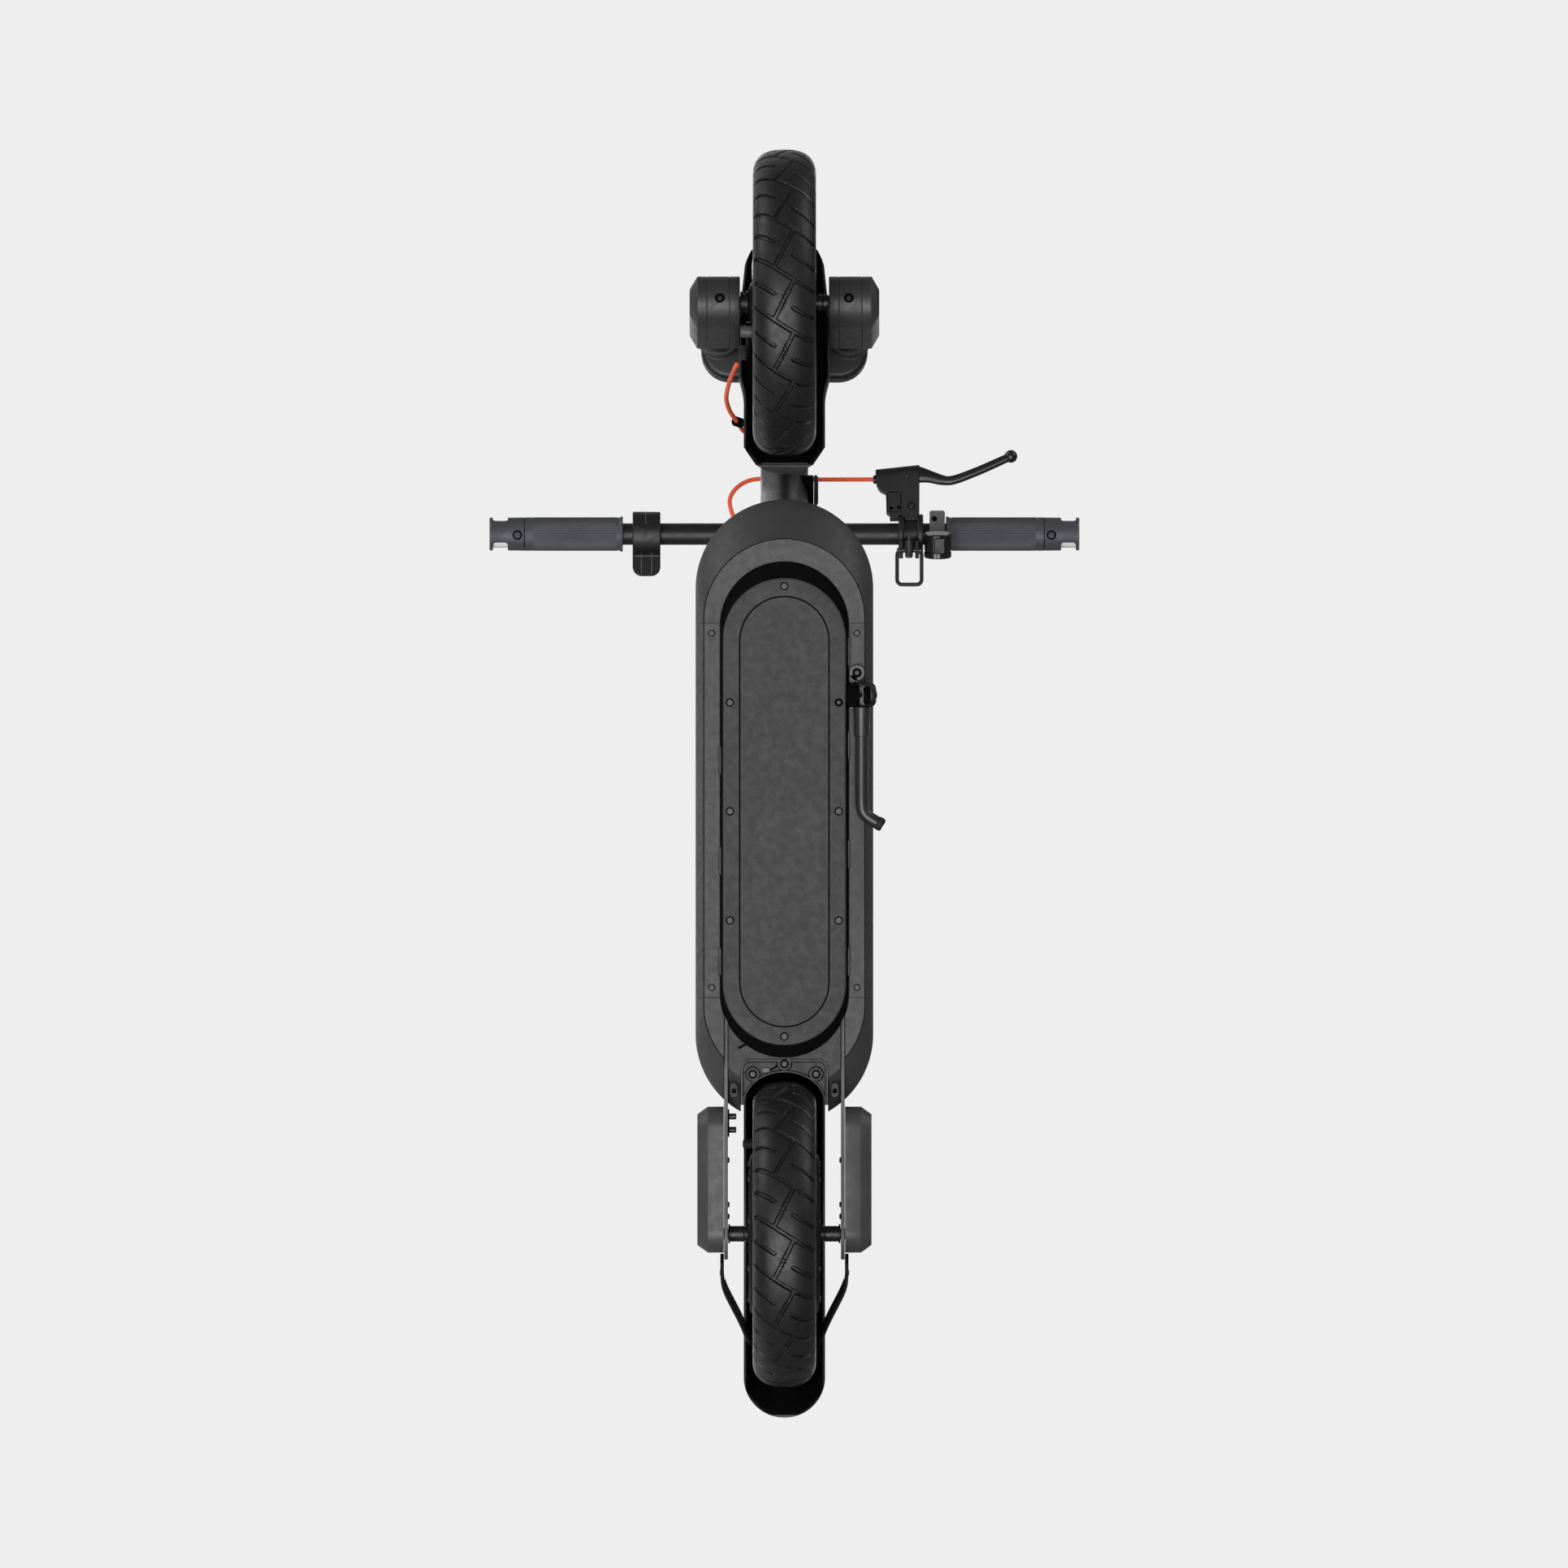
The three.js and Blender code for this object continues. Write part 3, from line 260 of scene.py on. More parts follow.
def both_ways(half):
    """The whole symmetric profile of (radius, y) points from its y > 0 half, listed from the middle outwards."""
    return [(r, -y) for r, y in reversed(half)] + list(half)


def smooth_path(points, steps=10):
    """A smooth line through points."""
    p = np.array(points, float)
    p = np.vstack([2 * p[0] - p[1], p, 2 * p[-1] - p[-2]])
    out = []
    for i in range(1, len(p) - 2):
        for t in np.linspace(0, 1, steps, endpoint=False):
            a = 2 * p[i] + (p[i + 1] - p[i - 1]) * t
            b = (2 * p[i - 1] - 5 * p[i] + 4 * p[i + 1] - p[i + 2]) * t ** 2
            c = (3 * p[i] - p[i - 1] - 3 * p[i + 1] + p[i + 2]) * t ** 3
            out.append((a + b + c) / 2)
    out.append(p[-2])
    return np.array(out)


def sweep(path, section, up=(0, 0, 1), scales=None):
    """A section of (sideways, upwards) points carried along a path."""
    path = np.asarray(path, float)
    along = np.gradient(path, axis=0)
    up = np.array(up, float)
    loops = []
    for i, point in enumerate(path):
        tangent = along[i] / np.linalg.norm(along[i])
        across = np.cross(tangent, up)
        across /= np.linalg.norm(across)
        up = np.cross(across, tangent)
        scale = 1.0 if scales is None else scales[i]
        loops.append(point + scale * (np.outer(section[:, 0], across) + np.outer(section[:, 1], up)))
    return skin(loops)


def rod(points, radius, steps=10, sides=24, up=(0, 0, 1)):
    """A round rod along a smooth line, with softened ends."""
    path = smooth_path(points, steps)
    first, last = path[1] - path[0], path[-1] - path[-2]
    soft = radius * 0.25
    path = np.vstack([path[0], path[0] + first / np.linalg.norm(first) * soft, path[1:-1],
                      path[-1] - last / np.linalg.norm(last) * soft, path[-1]])
    scales = np.ones(len(path))
    scales[[0, -1]] = 0.75
    return sweep(path, circle(radius, sides), up, scales)


def screw(radius, height, socket=0.5, sides=48):
    """A domed screw with a star socket, standing on z = 0 with its axis up."""
    levels = [(1.0, 0.0), (1.0, 0.45), (0.93, 0.75), (0.8, 0.93), (0.66, 1.0)]
    shapes = [(circle(radius * r, sides), height * z) for r, z in levels]
    well = star(radius * socket * 0.86, radius * socket * 0.12, sides)
    return loft(shapes + [(well, height), (well * 0.96, height * 0.35)])


def hex_nut(across_flats, height, bore):
    """A nut round the z axis, its bore closed by the thread of its bolt."""
    turn = np.linspace(0, 2 * math.pi, 48, endpoint=False)
    fold = (turn % (math.pi / 3)) - math.pi / 6
    radius = across_flats / 2 / np.cos(fold)
    outline = np.column_stack([radius * np.cos(turn), radius * np.sin(turn)])
    round_top = circle(across_flats / 2 * 0.98, 48)
    inner = circle(bore, 48)
    return loft([(outline, 0), (outline, height * 0.85), (round_top, height), (inner, height),
                 (inner * 0.96, height + 2.2), (inner * 0.8, height + 2.6)])


def under(shape, x, y, z):
    """An upright fastener turned to face down at a point."""
    return shape.turned(180, "X").moved(x, y, z)


def outward(shape, x, y, z, side=1):
    """An upright fastener turned to face along +y, or -y, at a point."""
    return shape.turned(-90 * side, "X").moved(x, y, z)


def scratch(shape):
    mesh = bpy.data.meshes.new("scratch")
    mesh.from_pydata(shape.points.tolist(), [], [list(map(int, f)) for f in shape.faces])
    obj = bpy.data.objects.new("scratch", mesh)
    bpy.context.scene.collection.objects.link(obj)
    return obj


def combined(shape, tools, operation):
    objects = [scratch(shape)] + [scratch(tool) for tool in tools]
    for tool in objects[1:]:
        modifier = objects[0].modifiers.new("boolean", "BOOLEAN")
        modifier.operation, modifier.object, modifier.solver = operation, tool, "EXACT"
    graph = bpy.context.evaluated_depsgraph_get()
    mesh = bpy.data.meshes.new_from_object(objects[0].evaluated_get(graph))
    points = np.array([v.co for v in mesh.vertices])
    faces = [list(p.vertices) for p in mesh.polygons]
    for obj in objects:
        data = obj.data
        bpy.data.objects.remove(obj)
        bpy.data.meshes.remove(data)
    bpy.data.meshes.remove(mesh)
    return Shape(points, faces)


def carved(shape, *tools):
    return combined(shape, tools, "DIFFERENCE")


def shared(shape, *tools):
    return combined(shape, tools, "INTERSECT")


# ---------------------------------------------------------------- materials


class Nodes:
    """Builds a node tree: each call adds one node and returns its output."""

    def __init__(self, tree):
        self.tree = tree
        tree.nodes.clear()

    def node(self, kind, inputs=None, **settings):
        made = self.tree.nodes.new(kind)
        for key, value in settings.items():
            setattr(made, key, value)
        for key, value in (inputs or {}).items():
            if isinstance(value, bpy.types.NodeSocket):
                self.tree.links.new(value, made.inputs[key])
            else:
                made.inputs[key].default_value = value
        return made

    def math(self, operation, a, b=0.0):
        return self.node("ShaderNodeMath", {0: a, 1: b}, operation=operation).outputs[0]

    def ramp(self, value, low, high, out_low=0.0, out_high=1.0, smooth=True):
        kind = "SMOOTHSTEP" if smooth else "LINEAR"
        limits = {"Value": value, "From Min": low, "From Max": high, "To Min": out_low, "To Max": out_high}
        return self.node("ShaderNodeMapRange", limits, interpolation_type=kind).outputs[0]

    def noise(self, position, size_mm, detail=3.0, roughness=0.55):
        values = {"Vector": position, "Scale": 1000.0 / size_mm, "Detail": detail, "Roughness": roughness}
        return self.node("ShaderNodeTexNoise", values).outputs["Fac"]

    def mix(self, factor, a, b):
        made = self.node("ShaderNodeMix", data_type="RGBA")
        for index, value in ((0, factor), (6, a), (7, b)):
            if isinstance(value, bpy.types.NodeSocket):
                self.tree.links.new(value, made.inputs[index])
            else:
                made.inputs[index].default_value = value
        return made.outputs[2]

    def bump(self, height, depth_mm, normal):
        values = {"Height": height, "Distance": depth_mm * MM, "Strength": 1.0, "Normal": normal}
        return self.node("ShaderNodeBump", values).outputs[0]


def grey(level, tint=(1.0, 1.0, 1.0)):
    """A linear colour from a screen level of 0 to 255."""
    s = level / 255.0
    linear = s / 12.92 if s <= 0.04045 else ((s + 0.055) / 1.055) ** 2.4
    return (linear * tint[0], linear * tint[1], linear * tint[2], 1.0)


COOL = (0.985, 0.99, 1.02)
MATERIALS = {}


def material(key, colour, roughness, slot=None, metallic=0.0, grain=(0.45, 0.02), blotch=0.1, wear=0.12,
             spread=0.06, edge=0.5, coat=0.0, relief=None, dust=0.0, glow=None, see_through=0.0,
             specular=0.5):
    """A finish with colour drift, uneven gloss, a fine grain, softened edges and paler worn edges."""
    made = bpy.data.materials.new(key)
    made.use_nodes = True
    n = Nodes(made.node_tree)
    position = n.node("ShaderNodeTexCoord").outputs["Object"]
    large = n.noise(position, 60.0, 4.0)
    middle = n.noise(position, 7.0, 3.0)
    fine = n.noise(position, grain[0], 2.0)
    soft = n.node("ShaderNodeBevel", {"Radius": edge * MM}, samples=4).outputs[0]
    flat = n.node("ShaderNodeNewGeometry").outputs["Normal"]
    agree = n.node("ShaderNodeVectorMath", {0: soft, 1: flat}, operation="DOT_PRODUCT").outputs["Value"]
    edge_mask = n.math("MULTIPLY", n.ramp(agree, 0.995, 0.86), n.ramp(middle, 0.3, 0.6))
    dark = tuple(c * (1.0 - blotch) for c in colour[:3]) + (1.0,)
    light = tuple(c * (1.0 + blotch) for c in colour[:3]) + (1.0,)
    tone = n.mix(n.ramp(large, 0.35, 0.65), dark, light)
    speck = tuple(min(c * 1.35 + 0.004, 1.0) for c in colour[:3]) + (1.0,)
    tone = n.mix(n.ramp(fine, 0.5, 0.8, 0.0, 0.35), tone, speck)
    worn = tuple(min(c * 2.2 + 0.03, 1.0) for c in colour[:3]) + (1.0,)
    tone = n.mix(n.math("MULTIPLY", edge_mask, wear), tone, worn)
    if dust:
        up = n.node("ShaderNodeSeparateXYZ", {0: flat}).outputs["Z"]
        settled = n.math("MULTIPLY", n.ramp(up, 0.3, 1.0), n.ramp(middle, 0.35, 0.75, 0.0, dust))
        tone = n.mix(settled, tone, grey(150, (1.0, 0.97, 0.92)))
    height = fine if relief is None else relief(n, position, fine)
    normal = n.bump(height, grain[1], soft)
    gloss = n.ramp(middle, 0.3, 0.7, roughness - spread, roughness + spread)
    values = {"Base Color": tone, "Roughness": gloss, "Metallic": metallic, "Normal": normal,
              "Coat Weight": coat, "Coat Roughness": 0.12, "Transmission Weight": see_through, "IOR": 1.46,
              "Specular IOR Level": specular}
    if glow:
        values.update({"Emission Color": glow[0], "Emission Strength": glow[1]})
    shader = n.node("ShaderNodeBsdfPrincipled", values).outputs[0]
    n.node("ShaderNodeOutputMaterial", {"Surface": shader})
    made.diffuse_color = colour
    MATERIALS[key] = (made, slot or key)


def pebble(n, position, fine):
    """A moulded pebble grain with fine grain on top."""
    cells = n.node("ShaderNodeTexVoronoi", {"Vector": position, "Scale": 1000.0 / 1.1}).outputs["Distance"]
    return n.math("ADD", cells, n.math("MULTIPLY", fine, 0.4))


def brushed(n, position, fine):
    """Fine lines along y, as on turned or drawn metal."""
    stretched = n.node("ShaderNodeMapping", {"Vector": position, "Scale": (1.0, 0.03, 1.0)}).outputs[0]
    return n.noise(stretched, 0.5, 2.0)


def make_materials():
    material("hull_plastic", grey(53), 0.5, grain=(0.5, 0.03), relief=pebble, wear=0.2)
    # A darker copy of the hull plastic: painted shade on the floor between the rear plates, the bracket and its lugs.
    material("recess_painted_shade", grey(42), 0.55, "hull_plastic", grain=(0.5, 0.02), relief=pebble, wear=0.0)
    material("rail_plastic", grey(53), 0.5, grain=(0.5, 0.03), relief=pebble, wear=0.2)
    material("cover_plastic", grey(44), 0.6, grain=(0.6, 0.04), relief=pebble, wear=0.25)
    material("mat_rubber", grey(40), 0.85, grain=(0.7, 0.08), blotch=0.15, dust=0.3)
    material("battery_wrap", grey(70, (0.6, 0.8, 1.3)), 0.35, grain=(2.0, 0.03))
    material("raw_alloy", grey(150), 0.4, metallic=1.0, grain=(0.4, 0.02), relief=brushed)
    material("frame_paint", grey(22, COOL), 0.42, grain=(0.35, 0.006), wear=0.15, specular=0.3)
    material("plate_paint", grey(82), 0.5, "frame_paint", grain=(0.35, 0.02), wear=0.3)
    material("casing_plastic", grey(50), 0.45, grain=(0.5, 0.03), relief=pebble, wear=0.2)
    material("side_cover_plastic", grey(60), 0.45, "casing_plastic", grain=(0.5, 0.03), relief=pebble, wear=0.2)
    material("black_alloy", grey(24), 0.42, grain=(0.4, 0.006), wear=0.08)
    material("black_plastic", grey(19), 0.45, grain=(0.5, 0.008), wear=0.06)
    # Paler than the black fender it stands for: painted light, so that the fenders' shaded lower rims read as lit
    # lines.
    material("fender_plastic", grey(60), 0.5, "black_plastic", grain=(0.5, 0.03), wear=0.2, dust=0.12)
    material("gloss_plastic", grey(14), 0.22, "black_plastic", grain=(0.5, 0.002), coat=0.3, wear=0.0, edge=0.0)
    # Near-black and almost without gloss: the own colour of small dark parts, and painted shade where it lines grooves,
    # holes, gaps and the fenders' insides.
    material("near_black_and_painted_shade", grey(6), 0.85, "black_plastic", grain=(0.8, 0.03), wear=0.0, specular=0.08)
    material("black_paint", grey(20), 0.34, grain=(0.35, 0.001), coat=0.2, wear=0.0, edge=0.0)
    material("stand_paint", grey(30), 0.4, "black_paint", grain=(0.35, 0.006), coat=0.2, wear=0.15)
    material("tyre_rubber", grey(19), 0.46, grain=(0.8, 0.06), blotch=0.18, wear=0.1, dust=0.15, edge=0.25)
    material("soft_rubber", grey(18), 0.7, grain=(0.6, 0.04))
    material("bumper_rubber", grey(17), 0.42, "soft_rubber", grain=(0.6, 0.006), wear=0.0, edge=0.0)
    material("motor_paint", grey(15), 0.6, "black_alloy", grain=(0.5, 0.01), wear=0.0, specular=0.2)
    material("bell_alloy", grey(165), 0.45, "steel", grain=(0.4, 0.006), wear=0.0)
    material("grip_rubber", grey(66, (0.96, 0.98, 1.22)), 0.5, grain=(0.4, 0.04), wear=0.08)
    material("steel", grey(105), 0.35, metallic=0.9, grain=(0.4, 0.008), relief=brushed, wear=0.3)
    material("dark_steel", grey(52), 0.35, "steel", metallic=0.6, grain=(0.4, 0.006), wear=0.2)
    material("cable_orange", grey(232, (1.0, 0.13, 0.05)), 0.45, grain=(0.5, 0.002), wear=0.0, edge=0.0)
    material("clear_lens", grey(228, (1.0, 0.98, 0.95)), 0.2, grain=(1.2, 0.01), coat=0.5, wear=0.0)
    material("display_glass", grey(14), 0.08, "clear_lens", grain=(3.0, 0.002), coat=0.8, wear=0.0)
    material("display_segments", grey(235), 0.4, "clear_lens", wear=0.0, glow=(grey(225), 1.2))
    material("reflector", grey(190), 0.15, "clear_lens", metallic=0.9, wear=0.0)
    material("red_lens", grey(160, (1.0, 0.05, 0.05)), 0.16, grain=(1.0, 0.01), coat=0.6, wear=0.0)


# ---------------------------------------------------------------- adding pieces


def mesh_of(name, shape, space):
    mesh = bpy.data.meshes.new(name)
    mesh.from_pydata(shape.points.tolist(), [], [list(map(int, face)) for face in shape.faces])
    mesh.transform(Matrix.Scale(MM, 4) @ space)
    mesh.validate()
    return mesh


def add(name, shape, body, finish, space=WORLD, bevel=0.0, stands_for=(), sharp=35.0):
    """Adds a piece in its place. A bevel in millimetres rounds its sharp edges."""
    mesh = mesh_of(name, shape, space)
    made, slot = MATERIALS[finish]
    mesh.materials.append(made)
    mesh.polygons.foreach_set("use_smooth", [True] * len(mesh.polygons))
    obj = bpy.data.objects.new(name, mesh)
    bpy.context.scene.collection.objects.link(obj)
    if bevel:
        modifier = obj.modifiers.new("edges", "BEVEL")
        modifier.width, modifier.segments = bevel * MM, 2
        modifier.limit_method, modifier.angle_limit = "ANGLE", math.radians(sharp)
        modifier.harden_normals = True
    else:
        mesh.set_sharp_from_angle(angle=math.radians(sharp))
    if body:
        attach(obj, body)
    if stands_for:
        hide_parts(*stands_for)
    return obj


def dress_cad(node, finish):
    """Gives a carried-over CAD node its finish."""
    obj = frame["nodes"][node]
    obj.data.materials.clear()
    obj.data.materials.append(MATERIALS[finish][0])


# ---------------------------------------------------------------- deck

DECK_LOW, DECK_HIGH = extent("deck_shell")
DECK_RADIUS = DECK_HIGH[1]
NOTCH_HALF = extent("rear_bracket")[1][1] + 0.5  # half the wheel notch's width
DECK_FRONT = DECK_HIGH[0] - DECK_RADIUS
DECK_REAR = DECK_LOW[0] + math.sqrt(DECK_RADIUS ** 2 - NOTCH_HALF ** 2)
DECK_BOTTOM, DECK_TOP = DECK_LOW[2], DECK_HIGH[2]
BAND_HEIGHT = 32.0
FLAT_RADIUS = 75.0
FLAT_PULL = (27.0, 28.5)  # how far the flat's centres stand in from the side's, rear and front
BAY_RADIUS = 59.25
BAY_TOP = 150.0
LID_LOW, LID_HIGH = extent("battery_cover")
LID_RADIUS = LID_HIGH[1]
LID_FRONT, LID_REAR = LID_HIGH[0] - LID_RADIUS, LID_LOW[0] + LID_RADIUS
BAY_FRONT, BAY_REAR = LID_FRONT + 0.3, LID_REAR - 0.3
LID_FACE = LID_LOW[2]
PLATE_IN = extent("rear_plate_left")[0][1]
PLATE_OUT = extent("rear_plate_left")[1][1]


def band_outline(t):
    """The hull's outline and height, from the flat's edge at t = 0 to the upright side at t = 1."""
    out = 2 * t * (1 - t) * 0.78 + t * t
    up = 2 * t * (1 - t) * 0.62 + t * t
    rear = DECK_REAR + FLAT_PULL[0] * (1 - out)
    front = DECK_FRONT - FLAT_PULL[1] * (1 - out)
    radius = FLAT_RADIUS + (DECK_RADIUS - FLAT_RADIUS) * out
    return stadium(rear, front, radius), DECK_BOTTOM + BAND_HEIGHT * up


def hull_blank():
    """The whole hull with its battery bay, before the rails are parted from it."""
    top = [(stadium(DECK_REAR, DECK_FRONT, DECK_RADIUS - 1.5), DECK_TOP),
           (stadium(DECK_REAR, DECK_FRONT, DECK_RADIUS - 0.5), DECK_TOP - 1.0),
           (stadium(DECK_REAR, DECK_FRONT, DECK_RADIUS), DECK_TOP - 3.0)]
    band = [band_outline(t) for t in np.linspace(1, 0, 15)]
    flat_rear, flat_front = DECK_REAR + FLAT_PULL[0], DECK_FRONT - FLAT_PULL[1]
    groove = [(stadium(flat_rear, flat_front, FLAT_RADIUS - 0.5), DECK_BOTTOM + 1.0),
              (stadium(flat_rear, flat_front, FLAT_RADIUS - 1.0), DECK_BOTTOM)]
    bay = [(stadium(BAY_REAR, BAY_FRONT, BAY_RADIUS + 0.6), DECK_BOTTOM),
           (stadium(BAY_REAR, BAY_FRONT, BAY_RADIUS), DECK_BOTTOM + 0.6),
           (stadium(BAY_REAR, BAY_FRONT, BAY_RADIUS), BAY_TOP)]
    return loft(top + band + groove + bay)


def hull_crease():
    """A dark strip laid in the groove between the flat and the curved band: painted shade along the crease."""
    rear, front = DECK_REAR + FLAT_PULL[0], DECK_FRONT - FLAT_PULL[1]
    outer, inner = stadium(rear, front, FLAT_RADIUS - 0.1), stadium(rear, front, FLAT_RADIUS - 0.9)
    line = plan_band(outer, inner, DECK_BOTTOM + 0.25, DECK_BOTTOM + 1.2)
    add("hull_crease_painted_shade", carved(line, *hull_cuts(), bumper_sweep(0.35)), "deck", "near_black_and_painted_shade")


TAB_LENGTH = 27.0
TAB_PLACES = {"right": (21.3, -71.2, -164.4), "left": (121.7, 35.7, -65.0, -164.4)}


def tab_notches(side_name):
    side = SIDES[side_name]
    notches = []
    for x in TAB_PLACES[side_name]:
        outline = rounded(x - TAB_LENGTH / 2, x + TAB_LENGTH / 2, 50, BAY_RADIUS + 1.8, 1.8, 4)
        notches.append(plate(outline, DECK_BOTTOM - 5, DECK_BOTTOM + 3).on(side))
    return notches


def rail_zone(side, gap):
    rail = extent("side_rail_left")
    x0, x1 = rail[0][0] - gap, rail[1][0] + gap
    inner = rail[0][1] - gap
    outline = rounded(x0, x1, inner, 95, 0.3, 2)
    return plate(outline, DECK_BOTTOM - 6, rail[1][2] + gap).on(side)


def hull_cuts():
    bracket = extent("rear_bracket")[1]
    half = bracket[1] - 0.2
    arch = plate(rounded(-345, bracket[0] - 0.2, -half, half, 8.8, 10), 90, 180)
    recess = plate(rounded(-345, LID_REAR, -PLATE_IN + 0.2, PLATE_IN - 0.2, 0.5, 2), 90, DECK_BOTTOM + 3)
    slots = []
    for side in SIDES.values():
        slot = plate(rounded(-345, -209.7, PLATE_IN - 0.4, PLATE_OUT + 0.4, 0.3, 2), 90, 149)
        slots.append(slot.on(side))
    neck = sweep(smooth_path(neck_line(), 8), circle(22.4, 40), (0, 1, 0))
    return [arch, recess, neck] + slots


def recess_floor():
    """The floor between the rear plates, darker than the hull: painted shade."""
    zone = plate(rounded(-345, LID_REAR, -PLATE_IN + 0.4, PLATE_IN - 0.4, 0.5, 2), DECK_BOTTOM + 2.8, DECK_BOTTOM + 3.4)
    add("recess_floor", carved(shared(hull_blank(), zone), hull_cuts()[0]), "deck", "recess_painted_shade")


def hull():
    blank = hull_blank()
    gap = 0.35
    zones = [rail_zone(side, gap) for side in SIDES.values()]
    shell = carved(blank, *hull_cuts(), *zones)
    add("hull", shell, "deck", "hull_plastic", stands_for=["deck_shell"])
    for name, side in SIDES.items():
        rail = shared(blank, rail_zone(side, 0))
        rail = carved(rail, *tab_notches(name), bumper_sweep(0.35))
        add(f"rail_{name}", rail, "deck", "rail_plastic", stands_for=[f"side_rail_{name}"])


def clip_tabs():
    """The lid's moulded clips, each in a notch of the rail."""
    tabs = []
    for name, side in SIDES.items():
        for x in TAB_PLACES[name]:
            half = TAB_LENGTH / 2 - 0.9
            outline = rounded(x - half, x + half, BAY_RADIUS - 1.6, BAY_RADIUS + 0.9, 1.1, 4)
            tabs.append(plate(outline, DECK_BOTTOM + 0.1, DECK_BOTTOM + 2.6).on(side))
    add("clip_tabs", total(tabs), "deck", "rail_plastic", sharp=30)


LID_SCREWS = [(182.6, 0.0), (75.0, 50.25), (-25.5, 50.25), (-126.4, 50.25), (-233.6, 0.0)]
RIM_SCREWS = [(139.1, 67.1), (-188.3, 67.1)]


def mirrored_points(points):
    return points + [(x, -y) for x, y in points if y > 0]


def lid():
    """The battery cover that stands proud of the hull: dark sloped walls and a round-edged face with a groove."""
    face_rear, face_front, face_radius = LID_REAR + 8.7, LID_FRONT - 12.5, 57.0
    groove_rear, groove_front, groove_radius = -183.4, 131.6, 41.25
    rim = 1.4
    wall = [(stadium(LID_REAR, LID_FRONT, LID_RADIUS), DECK_BOTTOM + 5),
            (stadium(LID_REAR, LID_FRONT, LID_RADIUS), DECK_BOTTOM),
            (stadium(face_rear, face_front, face_radius - 0.1), LID_FACE + rim + 0.5)]
    add("lid_wall", loft(wall), "deck", "near_black_and_painted_shade", stands_for=["battery_cover"], sharp=30)
    levels = [(stadium(face_rear, face_front, face_radius), LID_FACE + rim + 0.6)]
    for turn in np.radians(np.linspace(0, 90, 6)):
        radius = face_radius - rim + rim * math.cos(turn)
        levels.append((stadium(face_rear, face_front, radius), LID_FACE + rim - rim * math.sin(turn)))
    for inset, depth in ((-0.7, 0.0), (-0.6, 1.5), (0.6, 1.5), (0.7, 0.0)):
        outline = stadium(groove_rear, groove_front, groove_radius - inset)
        levels.append((outline, LID_FACE + depth))
    spots = mirrored_points(LID_SCREWS)
    holes = [plate(circle(3.9, 40, x, y), 90, LID_FACE + 1.9) for x, y in spots]
    add("lid_face", carved(loft(levels), *holes), "deck", "cover_plastic", sharp=30)
    # A dark strip in the face's groove: painted shade.
    groove = [stadium(groove_rear, groove_front, groove_radius + side * 0.8) for side in (1, -1)]
    add("lid_groove_painted_shade", plan_band(*groove, LID_FACE + 0.5, LID_FACE + 1.7), "deck", "near_black_and_painted_shade")
    # Dark discs at the bottom of the screw holes: painted shade.
    wells = [plate(circle(3.85, 40, x, y), LID_FACE + 1.5, LID_FACE + 1.95) for x, y in spots]
    small_one = (75.0, 50.25)
    heads = [under(screw(1.9 if spot == small_one else 2.9, 1.4, 0.42), *spot, LID_FACE + 1.5) for spot in spots]
    add("lid_screw_well_shade", total(wells), "deck", "near_black_and_painted_shade")
    add("lid_screws", total(heads), "deck", "plate_paint")
    # Dark rings round the rim screws: painted shade where a countersink would be.
    rings = [plate(circle(3.2, 40, x, y), DECK_BOTTOM - 0.05, DECK_BOTTOM + 0.5) for x, y in mirrored_points(RIM_SCREWS)]
    rim_heads = [under(screw(2.4, 0.8, 0.42), x, y, DECK_BOTTOM + 0.1)
                 for x, y in mirrored_points(RIM_SCREWS)]
    add("rim_screw_ring_shade", total(rings), "deck", "near_black_and_painted_shade")
    add("rim_screws", total(rim_heads), "deck", "plate_paint")


def deck_mat():
    """A rubber mat with rows of low studs."""
    low, high = extent("deck_mat")
    radius = high[1]
    front, rear = high[0] - radius, low[0] + radius
    outline = stadium(rear, front, radius)
    small = stadium(rear, front, radius - 1.2)
    base_top = high[2] - 1.0
    body = loft([(outline, low[2]), (outline, base_top - 0.8), (small, base_top)])
    notch = plate(rounded(-345, -250.3, -45, 45, 10, 8), 150, 170)
    neck = sweep(smooth_path(neck_line(), 8), circle(23.2, 40), (0, 1, 0))
    body = carved(body, notch, neck)
    add("mat", body, "deck", "mat_rubber", stands_for=["deck_mat"])
    add("mat_studs", total(mat_studs(rear, front, radius - 6, base_top, high[2])), "deck", "mat_rubber")


def mat_studs(rear, front, radius, z0, z1):
    studs = []
    pitch = 9.0
    row_gap = pitch * math.sqrt(3) / 2
    dome = loft([(circle(2.7, 12), z0 - 0.2), (circle(2.5, 12), z0 + 0.5 * (z1 - z0)), (circle(1.7, 12), z1)])
    rows = int(2 * radius / row_gap)
    for row in range(-(rows // 2), rows // 2 + 1):
        y = row * row_gap
        reach = math.sqrt(radius ** 2 - y ** 2)
        shift = pitch / 2 * (row % 2)
        x = math.ceil((rear - reach - shift) / pitch) * pitch + shift
        while x < front + reach:
            in_notch = x < -245 and abs(y) < 50
            in_neck = x > 200 and abs(y) < 28
            if not in_notch and not in_neck:
                studs.append(dome.moved(x, y))
            x += pitch
    return studs


# ---------------------------------------------------------------- neck, head tube and charging socket


def neck_line():
    """The neck tube's middle line, from inside the deck up to the head tube."""
    bottom = extent("neck_tube")[0]
    x0 = bottom[0] + 22
    return [(x0, 0, 147), (x0 + 9, 0, 210), (x0 + 26, 0, 295), (x0 + 50, 0, 358), (x0 + 88, 0, 396),
            (x0 + 132, 0, 403)]


def neck():
    path = smooth_path(neck_line(), 10)
    add("neck", sweep(path, circle(22, 64), (0, 1, 0)), "deck", "frame_paint", stands_for=["neck_tube"])


